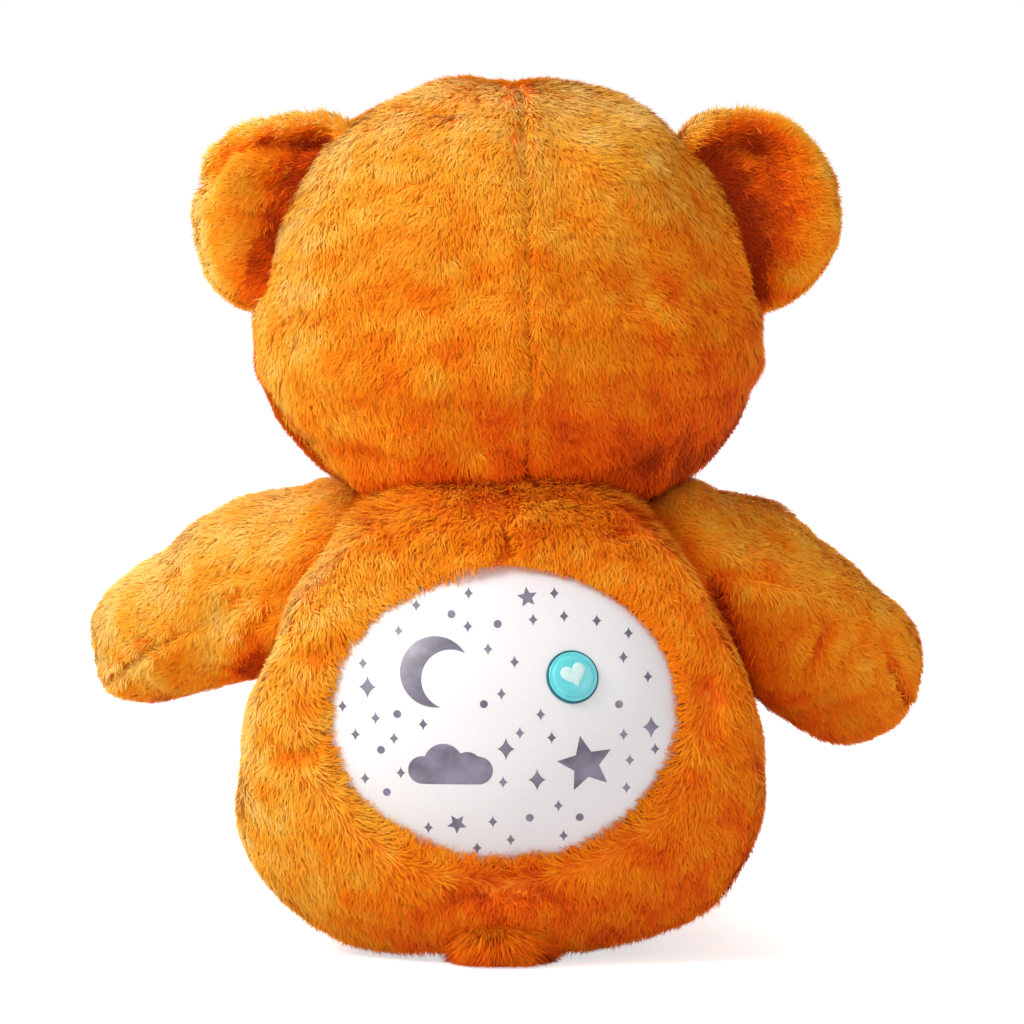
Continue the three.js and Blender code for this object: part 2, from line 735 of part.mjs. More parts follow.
// A cloud: puffs on a flat-bottomed bar, cut one after another
function cloudOutlines() {
  const { puff, barShare } = motif.cloud;
  const long = barShare * puff;
  const bar = new THREE.Shape();
  bar.moveTo(-long, -puff).lineTo(long, -puff).lineTo(long, 0).lineTo(-long, 0).closePath();
  const puffs = puffShares.map(([right, above, share]) => new THREE.Shape()
    .absarc(right * puff, above * puff, share * puff, 0, 2 * Math.PI));
  return [bar, ...puffs];
}

function windowCutters() {
  return windowOutlines().flatMap(({ right, above, turn, shapes }) => shapes.map((shape) => {
    const frame = moved(right, above, 0).multiply(new THREE.Matrix4().makeRotationZ(radians(turn)));
    return solidOf(extruded(shape, 0, dome.rise + overrun), frame);
  }));
}

function domePiece() {
  const flange = -dome.flangeThickness;
  const shell = solidOf(revolved([
    ...capArc(innerDome, dome.rise - dome.wall, dome.arcs).reverse(), [innerDome, flange],
    [rimRadius, flange], [rimRadius, 0], ...capArc(dome.halfWidth, dome.rise, dome.arcs),
  ], dome.sides, dome.ovalShare));
  const under = solidOf(revolved([
    [0, flange - overrun], [innerDome, flange - overrun],
    ...capArc(innerDome, dome.rise - dome.wall / 2, dome.arcs),
  ], dome.sides, dome.ovalShare));
  const frame = buttonFrame();
  const outerCollar = collarRadius + collar.wall;
  const tube = solidOf(ringOf(collarRadius, outerCollar, -collar.length, 0, button.sides), frame);
  const bosses = rodsAt(wellPlaces(), well.bossRadius, flange, dome.rise);
  const inside = joined([tube, ...bosses]).intersect(under);
  const opening = rod(button.radius + clearance, -collar.length, button.proud + overrun, button.sides);
  const bore = rod(collarRadius, -collar.length - overrun, -dome.wall, button.sides);
  const pilot = caseScrew.shankRadius + clearance;
  return geometryOf(cutBy(shell.add(inside), [
    ...windowCutters(), solidOf(opening, frame), solidOf(bore, frame),
    ...rodsAt(wellPlaces(), pilot, flange - overrun, flange + caseScrew.grip + clearance),
  ]));
}

function lensPiece() {
  const outer = innerDome - clearance;
  const outerRise = dome.rise - dome.wall - clearance;
  const inner = outer - lens.wall;
  const base = -dome.flangeThickness;
  const shell = solidOf(revolved([
    ...capArc(inner, outerRise - lens.wall, dome.arcs).reverse(), [inner, base], [outer, base],
    ...capArc(outer, outerRise, dome.arcs),
  ], dome.sides, dome.ovalShare));
  const bossRoom = rodsAt(wellPlaces(), well.bossRadius + clearance, base - overrun, dome.rise);
  return geometryOf(keepLargest(cutBy(shell, [collarRoom(clearance), ...bossRoom])));
}

// Battery bay sizes follow the cells and their contacts
const cellReach = cell.length + cell.tipLength;
const bayLength = cellReach + contact.springLength + contact.plateThickness + 4 * clearance;
const bayWidth = cell.count * cell.pitch + clearance;
const bayRoof = caseFloor + bay.depth;
const cellHeight = bayRoof - clearance - cell.radius;
const doorEnd = bayLength / 2 + door.lip;
const doorScrewEnd = bayLength / 2 + door.screwMargin;
const doorScrewAt = bayLength / 2 + door.screwMargin / 2;
const doorHeight = bayWidth + 2 * door.lip;
const doorCup = caseScrew.headRadius + clearance + door.cupWall;
const doorCupTop = caseFloor + caseScrew.headHeight + clearance + door.cupFloor;
const boardBottom = bayRoof + bay.wall + board.standoff;
const boardTop = boardBottom + board.thickness;

function fourCorners(width, height) {
  return [1, -1].flatMap((side) => [1, -1].map((end) => [side * width, end * height]));
}

function boardPegs() {
  return fourCorners(board.width / 2 - board.edge, board.height / 2 - board.edge);
}

function rodsAt(places, radius, from, to) {
  return places.map(([x, y]) => solidOf(rod(radius, from, to, well.sides), moved(x, y, 0)));
}

// Hooks on the door's end that reach under the end wall of the bay
function tongue(by) {
  const from = -bayLength / 2 - door.tongueReach - by;
  const to = -bayLength / 2 + door.tongueReach + by;
  const top = caseFloor + door.thickness + door.tongueHeight + by;
  return [1, -1].map((end) => solidOf(block(
    to - from, door.tongueWidth + 2 * by, caseFloor, top, (from + to) / 2, end * cell.pitch,
  )));
}

function casePiece() {
  const corner = (radius, floor, size) => arcProfile(
    casing.arcs,
    (t) => radius - size + size * Math.sin((t * Math.PI) / 2),
    (t) => floor + size - size * Math.cos((t * Math.PI) / 2),
  );
  const inner = cupRadius - casing.wall;
  const innerFloor = caseFloor + casing.wall;
  const under = caseTop - casing.flangeThickness;
  const outside = [[0, caseFloor], ...corner(cupRadius, caseFloor, casing.corner)];
  const cup = solidOf(revolved([
    ...outside, [cupRadius, under], [rimRadius, under], [rimRadius, caseTop], [inner, caseTop],
    ...corner(inner, innerFloor, casing.corner - casing.wall).reverse(), [0, innerFloor],
  ], casing.sides, dome.ovalShare));
  const filled = [...outside, [cupRadius, caseTop], [0, caseTop]];
  const whole = solidOf(revolved(filled, casing.sides, dome.ovalShare));
  const bayBox = block(bayLength + 2 * bay.wall, bayWidth + 2 * bay.wall, caseFloor, bayRoof + bay.wall);
  const doorBoss = doorCup + clearance + door.bossWall;
  const inside = joined([
    solidOf(bayBox),
    ...rodsAt(wellPlaces(), well.radius + well.wall, caseFloor, caseTop),
    ...rodsAt(boardPegs(), board.standoffRadius, caseFloor, boardBottom - clearance),
    ...rodsAt(boardPegs(), board.pegRadius, caseFloor, boardTop + clearance),
    ...rodsAt([[doorScrewAt, 0]], doorBoss, caseFloor, caseFloor + door.bossHeight),
  ]).intersect(whole);
  const seat = block(
    doorEnd + doorScrewEnd + 2 * clearance, doorHeight + 2 * clearance,
    caseFloor - overrun, caseFloor + door.thickness + clearance, (doorScrewEnd - doorEnd) / 2,
  );
  const shankHole = caseScrew.shankRadius + clearance;
  return geometryOf(keepLargest(cutBy(cup.add(inside), [
    solidOf(block(bayLength, bayWidth, caseFloor - overrun, bayRoof)),
    solidOf(seat),
    ...tongue(clearance),
    ...rodsAt(wellPlaces(), well.radius, caseFloor - overrun, caseTop - well.shelf),
    ...rodsAt(wellPlaces(), shankHole, caseFloor, caseTop + overrun),
    ...rodsAt([[doorScrewAt, 0]], doorCup + clearance, caseFloor - overrun, doorCupTop + clearance),
    ...rodsAt([[doorScrewAt, 0]], shankHole, caseFloor, caseFloor + door.bossHeight - bay.wall),
    ...rodsAt(leadHoles(), lead.radius + clearance, bayRoof - overrun, bayRoof + bay.wall + overrun),
  ])));
}

function doorPiece() {
  const plate = block(
    doorEnd + doorScrewEnd, doorHeight, caseFloor, caseFloor + door.thickness,
    (doorScrewEnd - doorEnd) / 2,
  );
  const at = [[doorScrewAt, 0]];
  const headRoom = caseScrew.headRadius + clearance;
  const whole = joined([solidOf(plate), ...tongue(0), ...rodsAt(at, doorCup, caseFloor, doorCupTop)]);
  return geometryOf(cutBy(whole, [
    ...rodsAt(at, headRoom, caseFloor - overrun, doorCupTop - door.cupFloor),
    ...rodsAt(at, caseScrew.shankRadius + clearance, caseFloor, doorCupTop + overrun),
  ]));
}

// A screw with its shank up z from the underside of its slotted head
function screwPiece(grip) {
  const { headRadius, headHeight, shankRadius, slotWidth, slotDepth } = caseScrew;
  const whole = solidOf(revolved([
    [0, -headHeight], [headRadius, -headHeight], [headRadius, 0], [shankRadius, 0],
    [shankRadius, grip], [0, grip],
  ], well.sides));
  const slotLength = 2 * headRadius + overrun;
  const slot = block(slotLength, slotWidth, -headHeight - overrun, -headHeight + slotDepth);
  return geometryOf(whole.subtract(solidOf(slot)));
}

function cellPiece() {
  return revolved([
    [0, 0], [cell.radius, 0], [cell.radius, cell.length], [cell.tipRadius, cell.length],
    [cell.tipRadius, cell.length + cell.tipLength], [0, cell.length + cell.tipLength],
  ], cell.sides);
}

function boardPiece() {
  const plate = solidOf(block(board.width, board.height, boardBottom, boardTop));
  const holes = rodsAt(boardPegs(), board.pegRadius + clearance, boardBottom - overrun, boardTop + overrun);
  return geometryOf(cutBy(plate, holes));
}

function lampPiece() {
  const shoulder = lamp.height - lamp.radius;
  const top = arcProfile(
    lamp.arcs,
    (t) => lamp.radius * Math.cos((t * Math.PI) / 2),
    (t) => shoulder + lamp.radius * Math.sin((t * Math.PI) / 2),
  );
  top[lamp.arcs][0] = 0;
  return revolved([
    [0, 0], [lamp.rimRadius, 0], [lamp.rimRadius, lamp.rimHeight], [lamp.radius, lamp.rimHeight], ...top,
  ], lamp.sides);
}

function leadHoles() {
  const x = -bayLength / 2 + contact.springLength / 2;
  return [[x, cell.pitch - lead.aside], [x, -cell.pitch + lead.aside]];
}

function leadPiece(points) {
  const path = new THREE.CatmullRomCurve3(points);
  const geometry = new THREE.ExtrudeGeometry(roundOutline(lead.radius, lead.sides), {
    steps: lead.steps, extrudePath: path,
  });
  return geometryOf(solidOf(geometry));
}

function batteryLead(place) {
  const [x, y] = leadHoles()[place];
  const from = bayRoof - clearance;
  const out = bayRoof + bay.wall;
  const to = boardBottom - clearance;
  return leadPiece([
    new THREE.Vector3(x, y, from), new THREE.Vector3(x, y, out),
    new THREE.Vector3(x + lead.slack, y, (out + to) / 2), new THREE.Vector3(x + lead.slack, y, to),
  ]);
}

function switchLead() {
  const low = -collar.length - clearance - switchBoard.thickness - clearance;
  const start = new THREE.Vector3(-collarRadius / 2, 0, low).applyMatrix4(buttonFrame());
  const bulge = new THREE.Vector3(-collarRadius / 2, 0, low - lead.loop / 2).applyMatrix4(buttonFrame());
  const end = new THREE.Vector3(board.width / 2 - board.edge / 2, 0, boardTop + clearance);
  const over = end.clone().add(new THREE.Vector3(0, 0, lead.loop));
  return leadPiece([start, bulge, over, end]);
}

// Button pieces, in the button's own frame

const lipTop = -dome.wall - clearance;
const lipBottom = lipTop - button.lipHeight;
const underFace = button.proud - button.rimDrop - button.faceThickness;
const boardFace = -collar.length - clearance;
const tactTop = boardFace + clearance + tact.height;
const plungerTop = tactTop + tact.plungerShow;
const heartSeat = button.proud + button.crown - heart.depth;

function capPiece() {
  const inner = button.radius - button.shellWall;
  const raised = button.radius - button.rimWidth;
  const lip = button.radius + button.lipWidth;
  const rimTop = button.proud - button.rimDrop;
  const stemEnd = plungerTop + clearance;
  const crown = arcProfile(
    button.arcs,
    (t) => raised * (1 - t),
    (t) => button.proud + button.crown * (1 - (1 - t) ** 2),
  );
  const cap = solidOf(revolved([
    [0, stemEnd], [button.stemRadius, stemEnd], [button.stemRadius, underFace], [inner, underFace],
    [inner, lipBottom], [lip, lipBottom], [lip, lipTop], [button.radius, lipTop],
    [button.radius, rimTop], [raised, rimTop], ...crown,
  ], button.sides));
  const recess = extruded(heartOutline(heart.width + 2 * clearance), heartSeat, heartSeat + overrun);
  return geometryOf(cap.subtract(solidOf(recess)));
}

function heartPiece() {
  const top = button.proud + button.crown + heart.proud;
  return geometryOf(solidOf(extruded(heartOutline(heart.width), heartSeat + clearance, top)));
}

function tactPiece() {
  const [low, high] = [boardFace + clearance, tactTop];
  const bodyBlock = solidOf(block(tact.width, tact.width, low, high));
  const floor = plungerTop - tact.plungerLength - button.travel - clearance;
  const bore = solidOf(rod(tact.plungerRadius + clearance, floor, high + overrun, well.sides));
  return geometryOf(bodyBlock.subtract(bore));
}

// The whole toy

const finishes = {
  fur: [0xe8820f, 0.95, 0],
  paleFur: [0xe9c39a, 0.95, 0],
  blackPlastic: [0x15110f, 0.15, 0],
  washerPlastic: [0xd8d5cc, 0.5, 0],
  domePlastic: [0xf0f1f4, 0.35, 0],
  lensPlastic: [0x6f6a80, 0.3, 0],
  tealPlastic: [0x55cbd6, 0.3, 0],
  heartPlastic: [0xbfeef0, 0.35, 0],
  casePlastic: [0xdcdde0, 0.5, 0],
  boardGreen: [0x1e6b3a, 0.5, 0],
  steel: [0xb9bcc0, 0.3, 1],
  cellSleeve: [0x3a4a5c, 0.4, 0],
  redLamp: [0xd23a32, 0.2, 0],
  greenLamp: [0x3fae4e, 0.2, 0],
  blueLamp: [0x3b62d0, 0.2, 0],
  redWire: [0xb32222, 0.5, 0],
  blackWire: [0x1a1a1a, 0.5, 0],
};

function piece(name, geometry, finish, frame = new THREE.Matrix4()) {
  const [color, roughness, metalness] = finishes[finish];
  const mesh = new THREE.Mesh(geometry, new THREE.MeshStandardMaterial({ color, roughness, metalness }));
  mesh.name = name;
  mesh.applyMatrix4(frame);
  return mesh;
}

function group(frame, members) {
  const holder = new THREE.Group();
  holder.add(...members);
  holder.applyMatrix4(frame);
  return holder;
}

function softPieces() {
  return [
    piece('body', bodyPiece(), 'fur'),
    piece('tail', tailPiece(), 'fur'),
    ...bothSides.flatMap((side) => [
      piece(`arm_${side}`, armPiece(side), 'fur'),
      piece(`leg_${side}`, legPiece(side), 'fur'),
      piece(`sole_${side}`, solePiece(side), 'paleFur'),
    ]),
  ];
}

function headGroup() {
  return group(headFrame, [
    piece('head', headPiece(), 'fur'),
    piece('muzzle', muzzlePiece(), 'paleFur'),
    piece('nose', nosePiece(), 'blackPlastic', noseFrame()),
    piece('nose_washer', washerPiece(), 'washerPlastic', noseFrame()),
    ...bothSides.flatMap((side) => [
      piece(`ear_${side}`, earPiece(side), 'fur'),
      piece(`eye_${side}`, revolved(eyeProfile(0), post.sides), 'blackPlastic', eyeFrame(side)),
      piece(`eye_washer_${side}`, washerPiece(), 'washerPlastic', eyeFrame(side)),
    ]),
  ]);
}

function batteryPieces() {
  const pieces = [];
  for (let place = 0; place < cell.count; place += 1) {
    const across = (place - (cell.count - 1) / 2) * cell.pitch;
    const way = place % 2 ? -1 : 1;
    const start = new THREE.Vector3(-way * (bayLength / 2 - clearance), across, cellHeight);
    const frame = framed(start, backward, upward, rightward);
    if (way < 0) frame.multiply(new THREE.Matrix4().makeRotationX(Math.PI));
    const afterSpring = contact.springLength + clearance;
    const plate = block(contact.plateWidth, contact.plateHeight, 0, contact.plateThickness);
    const cellFrame = frame.clone().multiply(moved(0, 0, afterSpring));
    const plateFrame = cellFrame.clone().multiply(moved(0, 0, cellReach + clearance));
    const { springRadius, springWire, springTurns, springLength } = contact;
    const spring = coil(springRadius, springWire, springTurns, 0, springLength);
    pieces.push(
      piece(`contact_spring_${place + 1}`, spring, 'steel', frame),
      piece(`cell_${place + 1}`, cellPiece(), 'cellSleeve', cellFrame),
      piece(`contact_plate_${place + 1}`, plate, 'steel', plateFrame),
    );
  }
  return pieces;
}

function lampPieces() {
  return ['red', 'green', 'blue'].map((colour, place) => {
    const angle = (2 * Math.PI * place) / lamp.count + Math.PI / 2;
    const frame = moved(lamp.spread * Math.cos(angle), lamp.spread * Math.sin(angle), boardTop + clearance);
    return piece(`led_${colour}`, lampPiece(), `${colour}Lamp`, frame);
  });
}

function screwPieces() {
  const shelf = caseTop - well.shelf - clearance;
  const long = well.shelf + clearance + clearance + caseScrew.grip;
  const doorGrip = door.bossHeight - caseScrew.headHeight - bay.wall - clearance;
  const doorSeat = moved(doorScrewAt, 0, caseFloor + caseScrew.headHeight);
  return [
    ...wellPlaces().map(([x, y], place) => (
      piece(`case_screw_${place + 1}`, screwPiece(long), 'steel', moved(x, y, shelf)))),
    piece('door_screw', screwPiece(doorGrip), 'steel', doorSeat),
  ];
}

function buttonGroup() {
  const plungerFrom = plungerTop - tact.plungerLength;
  const boardFrom = boardFace - switchBoard.thickness;
  const boardRadius = collarRadius + collar.wall;
  const { radius, wire, turns } = returnSpring;
  const spring = coil(radius, wire, turns, boardFace + clearance, underFace - clearance);
  return group(buttonFrame(), [
    piece('button_cap', capPiece(), 'tealPlastic'),
    piece('button_heart', heartPiece(), 'heartPlastic'),
    piece('button_spring', spring, 'steel'),
    piece('switch_plunger', rod(tact.plungerRadius, plungerFrom, plungerTop, well.sides), 'blackPlastic'),
    piece('tact_switch', tactPiece(), 'steel'),
    piece('switch_board', rod(boardRadius, boardFrom, boardFace, button.sides), 'boardGreen'),
  ]);
}

function lightUnit() {
  return group(unitFrame, [
    piece('star_dome', domePiece(), 'domePlastic'),
    piece('dome_lens', lensPiece(), 'lensPlastic'),
    piece('rear_case', casePiece(), 'casePlastic'),
    piece('battery_door', doorPiece(), 'casePlastic'),
    ...screwPieces(),
    ...batteryPieces(),
    piece('circuit_board', boardPiece(), 'boardGreen'),
    ...lampPieces(),
    piece('lead_red', batteryLead(0), 'redWire'),
    piece('lead_black', batteryLead(1), 'blackWire'),
    piece('lead_switch', switchLead(), 'blackWire'),
    buttonGroup(),
  ]);
}

export default new THREE.Group().add(...softPieces(), headGroup(), lightUnit());
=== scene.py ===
import json
import math
import bpy
import numpy as np
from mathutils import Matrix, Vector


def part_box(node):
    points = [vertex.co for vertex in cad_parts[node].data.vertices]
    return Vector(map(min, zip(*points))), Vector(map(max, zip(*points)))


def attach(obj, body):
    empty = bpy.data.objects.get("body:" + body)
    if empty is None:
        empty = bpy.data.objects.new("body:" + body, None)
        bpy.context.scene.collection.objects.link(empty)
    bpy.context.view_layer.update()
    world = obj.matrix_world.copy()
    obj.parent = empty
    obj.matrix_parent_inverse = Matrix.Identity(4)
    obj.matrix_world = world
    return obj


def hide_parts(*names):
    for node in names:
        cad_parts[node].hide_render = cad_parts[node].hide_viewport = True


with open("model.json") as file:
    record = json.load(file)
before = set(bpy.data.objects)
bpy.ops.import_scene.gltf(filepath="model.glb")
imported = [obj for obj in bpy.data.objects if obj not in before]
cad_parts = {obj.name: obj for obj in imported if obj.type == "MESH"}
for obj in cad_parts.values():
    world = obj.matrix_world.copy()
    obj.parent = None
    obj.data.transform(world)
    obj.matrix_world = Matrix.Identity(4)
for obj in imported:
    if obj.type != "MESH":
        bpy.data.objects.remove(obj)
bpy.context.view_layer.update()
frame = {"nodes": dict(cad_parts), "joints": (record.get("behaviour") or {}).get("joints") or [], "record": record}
print("frame loaded,", len(frame["nodes"]), "nodes")

mm = 0.001  # every size below is in millimetres
ground = 0.3  # no fibre reaches lower than this
joints = {joint["name"]: joint for joint in frame["joints"]}


def linked(name, data):
    made = bpy.data.objects.new(name, data)
    bpy.context.collection.objects.link(made)
    return made


# Camera, lamps and floor

photoView = {"scale": 0.3345, "pixels": 1024, "aimAcross": -3.0, "aimHeight": 146.0, "elevation": 5.0,
             "lens": 250.0, "sensor": 36.0, "clip": (0.1, 50)}
photoLift = math.radians(photoView["elevation"])
# far enough away for the lens to take in the photograph's width at the toy
photoAway = photoView["scale"] * photoView["pixels"] * photoView["lens"] / photoView["sensor"]


def makeCamera():
    data = bpy.data.cameras.new("photoCamera")
    data.lens, data.sensor_width = photoView["lens"], photoView["sensor"]
    data.clip_start, data.clip_end = photoView["clip"]
    camera = linked("photoCamera", data)
    camera.location = (photoView["aimAcross"] * mm, math.cos(photoLift) * photoAway * mm,
                       (photoView["aimHeight"] + math.sin(photoLift) * photoAway) * mm)
    camera.rotation_euler = (math.pi / 2 - photoLift, 0, math.pi)
    bpy.context.scene.camera = camera


lamps = {
    "key": {"place": (1.85, 1.05, 1.65), "size": 1.0, "power": 52, "colour": (1.0, 0.95, 0.87)},
    "side": {"place": (-1.7, 1.5, 0.8), "size": 1.4, "power": 7, "colour": (1.0, 0.97, 0.93)},
    "top": {"place": (0.6, 0.1, 2.3), "size": 1.4, "power": 8, "colour": (1.0, 0.96, 0.9)},
    "front": {"place": (0.6, -1.9, 1.2), "size": 1.6, "power": 17, "colour": (1.0, 0.97, 0.93)},
}
studio = {"world": 0.53, "worldColour": (1, 0.985, 0.965, 1), "floorColour": 0.8, "floorLift": 0.66,
          "floorReach": 6.0, "aim": (0, 0, 0.13)}


def makeLamps():
    for name, lamp in lamps.items():
        data = bpy.data.lights.new(name, "AREA")
        data.shape, data.size = "DISK", lamp["size"]
        data.energy, data.color = lamp["power"], lamp["colour"]
        light = linked(name, data)
        light.location = lamp["place"]
        away = np.array(lamp["place"]) - np.array(studio["aim"])
        flat = math.hypot(away[0], away[1])
        light.rotation_euler = (math.atan2(flat, away[2]), 0, math.atan2(away[0], -away[1]))


def setInputs(tree, node, inputs):
    # each input takes a value, or a link from another node's output
    for socket, value in inputs.items():
        if isinstance(value, bpy.types.NodeSocket):
            tree.links.new(value, node.inputs[socket])
        else:
            node.inputs[socket].default_value = value


def addNode(tree, kind, inputs, **options):
    node = tree.nodes.new("ShaderNode" + kind)
    for option, value in options.items():
        setattr(node, option, value)
    setInputs(tree, node, inputs)
    return node


def emptyTree(owner):
    owner.use_nodes = True
    owner.node_tree.nodes.clear()
    return owner.node_tree


def seenRay(tree):
    # 1 for rays that see the background: from the camera, or by way of a mirror or clear plastic
    rays = addNode(tree, "LightPath", {}).outputs
    first = addNode(tree, "Math", {0: rays["Is Camera Ray"], 1: rays["Is Glossy Ray"]}, operation="MAXIMUM")
    both = addNode(tree, "Math", {0: first.outputs[0], 1: rays["Is Transmission Ray"]}, operation="MAXIMUM")
    return both.outputs[0]


def makeWorld():
    world = bpy.data.worlds.new("paleRoom")
    bpy.context.scene.world = world
    tree = emptyTree(world)
    soft = addNode(tree, "Background", {"Color": studio["worldColour"], "Strength": studio["world"]})
    white = addNode(tree, "Background", {"Color": (1, 1, 1, 1)})
    mix = addNode(tree, "MixShader", {0: seenRay(tree), 1: soft.outputs[0], 2: white.outputs[0]})
    addNode(tree, "OutputWorld", {0: mix.outputs[0]})


def makeFloor():
    reach = studio["floorReach"]
    mesh = bpy.data.meshes.new("floor")
    mesh.from_pydata([(-reach, -reach, 0), (reach, -reach, 0), (reach, reach, 0), (-reach, reach, 0)], [],
                     [(0, 1, 2, 3)])
    material = bpy.data.materials.new("paleFloor")
    tree = emptyTree(material)
    diffuse = addNode(tree, "BsdfDiffuse", {"Color": (studio["floorColour"],) * 3 + (1,)})
    lift = addNode(tree, "Math", {0: seenRay(tree), 1: studio["floorLift"]}, operation="MULTIPLY")
    glow = addNode(tree, "Emission", {"Strength": lift.outputs[0]})
    total = addNode(tree, "AddShader", {0: diffuse.outputs[0], 1: glow.outputs[0]})
    addNode(tree, "OutputMaterial", {0: total.outputs[0]})
    mesh.materials.append(material)
    linked("floor", mesh)


makeCamera()
makeLamps()
makeWorld()
makeFloor()
bpy.context.scene.view_settings.view_transform = "Standard"
print("camera, lamps and floor made")


# Materials

def toLinear(colour):
    # screen colours, 0 to 255, to the renderer's own
    share = np.array(colour) / 255
    return tuple(np.where(share <= 0.04045, share / 12.92, ((share + 0.055) / 1.055) ** 2.4)) + (1.0,)


def newMaterial(name):
    material = bpy.data.materials.new(name)
    material.use_nodes = True
    return material, material.node_tree, material.node_tree.nodes["Principled BSDF"]


def ramp(tree, stops, factor):
    node = addNode(tree, "ValToRGB", {0: factor})
    for _ in range(len(stops) - 2):
        node.color_ramp.elements.new(0.5)
    for element, (place, colour) in zip(node.color_ramp.elements, stops):
        element.position, element.color = place, toLinear(colour)
    return node.outputs[0]


def pileMaterial(name, tips, roots, sheen):
    # colour by each fibre's own tone across the map, from its root to its tip up the map
    material, tree, shader = newMaterial(name)
    place = addNode(tree, "UVMap", {}, uv_map="OFBake")
    split = addNode(tree, "SeparateXYZ", {0: place.outputs[0]})
    rise = addNode(tree, "MapRange", {"Value": split.outputs[1], "From Min": 0.05, "From Max": 0.85},
                   interpolation_type="SMOOTHSTEP")
    mix = addNode(tree, "Mix", {"Factor": rise.outputs["Result"], 6: ramp(tree, roots, split.outputs[0]),
                                7: ramp(tree, tips, split.outputs[0])}, data_type="RGBA")
    setInputs(tree, shader, {"Base Color": mix.outputs[2], "Roughness": 0.75, "Specular IOR Level": 0.1,
                             "Sheen Weight": sheen["weight"], "Sheen Roughness": 0.45,
                             "Sheen Tint": toLinear(sheen["tint"])})
    return material


def grainMaterial(name, low, high, grain, roughness, bump, **extra):
    # two close colours mixed by a fine noise, which also gives the surface its bump
    material, tree, shader = newMaterial(name)
    place, scale = addNode(tree, "TexCoord", {}).outputs["Object"], 1 / (grain * mm)
    noise = addNode(tree, "TexNoise", {"Vector": place, "Scale": scale, "Detail": 3}).outputs["Fac"]
    relief = addNode(tree, "Bump", {"Strength": 0.6, "Distance": bump * mm, "Height": noise})
    setInputs(tree, shader, {"Base Color": ramp(tree, [(0.35, low), (0.65, high)], noise),
                             "Normal": relief.outputs[0], "Roughness": roughness})
    setInputs(tree, shader, {socket.replace("_", " "): value for socket, value in extra.items()})
    return material


furTips = [(0.0, (170, 44, 2)), (0.25, (250, 98, 4)), (0.5, (255, 150, 14)), (0.75, (255, 190, 54)),
           (1.0, (255, 222, 128))]
furRoots = [(0.0, (140, 30, 1)), (0.25, (232, 78, 4)), (0.5, (255, 128, 14)), (1.0, (255, 176, 60))]
paleTips = [(0.0, (224, 184, 136)), (0.5, (247, 219, 178)), (1.0, (254, 238, 212))]
paleRoots = [(0.0, (192, 148, 104)), (1.0, (230, 192, 148))]

orangePile = pileMaterial("orangePile", furTips, furRoots, {"weight": 0.22, "tint": (255, 170, 70)})
palePile = pileMaterial("palePile", paleTips, paleRoots, {"weight": 0.25, "tint": (255, 235, 205)})
orangeBacking = grainMaterial("orangeBacking", (250, 124, 10), (255, 144, 18), 2.5, 0.95, 0.4)
paleBacking = grainMaterial("paleBacking", (218, 178, 132), (232, 194, 148), 2.5, 0.95, 0.4)


# Forms: the frame's stuffed shapes, finer and a little smaller, so that the pile reaches their size

pile = {"depth": 2.9, "length": 5.4, "width": 0.38, "widths": (0.75, 1.25), "sink": 0.8, "roll": 10,
        "rootLean": 62, "tipLean": 80, "leanSpread": 5, "rootLeans": (2, 84), "tipLeans": (8, 88),
        "clump": 2.8, "clumpTurn": 22, "clumpLean": 7, "gather": 0.25, "gatherMiddle": 0.4, "stray": 0.34,
        "swirl": 20, "swirlSize": 34, "patch": 12, "patchLean": 4,
        # shares of the length: the shortest, what chance, clump and patch add, and what a fold takes away;
        # then the shares of a fibre below and above its bend
        "shortest": 0.8, "chance": 0.3, "clumpLength": 0.14, "patchLength": 0.07, "foldLength": 0.12,
        "below": 0.5, "above": 0.55,
        # tones: the middle one, then what patch, clump and chance change, the painted light on an upward face and
        # the painted shade in a fold, the lowest and highest one, and how much the shading follows the skin and
        # the fibre
        "tone": 0.5, "patchTone": 0.075, "clumpTone": 0.13, "chanceTone": 0.045, "paintedUpwardLight": 0.14,
        "paintedFoldShade": 0.14, "tones": (0.02, 0.98), "mapWidth": 0.007, "skinShade": 0.85, "fibreShade": 0.35}


def boxOf(node):
    low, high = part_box(node)
    return np.array(low) / mm, np.array(high) / mm


def evenForm(halfWidth, depth, reach, power=2, **more):
    # as deep in front as behind and as far down as up, where more doesn't say otherwise
    return {"halfWidth": halfWidth, "depthFront": depth, "depthBack": depth, "up": reach, "down": reach,
            "upPower": power, "downPower": power, **more}


def ringShare(form, height):
    # superellipse up and down from the widest ring, with a straight taper above it
    above = height >= 0
    power = np.where(above, form["upPower"], form["downPower"])
    along = np.minimum(np.abs(height) / np.where(above, form["up"], form["down"]), 1)
    taper = 1 - form.get("taperShare", 0) * np.where(above, along, 0)
    return taper * (1 - along ** power) ** (1 / power)


def sectionOf(form, height):
    # depth front and back, and the section's power, growing round towards the top where the form asks
    share = form.get("roundByShare", 0)
    turning = np.clip(height / (form["up"] * share), 0, 1) ** 2 if share else np.zeros_like(height)
    half = form["halfWidth"]
    front = form["depthFront"] + (half - form["depthFront"]) * turning
    back = form["depthBack"] + (half - form["depthBack"]) * turning
    return front, back, form.get("sectionPower", 2) + (2 - form.get("sectionPower", 2)) * turning


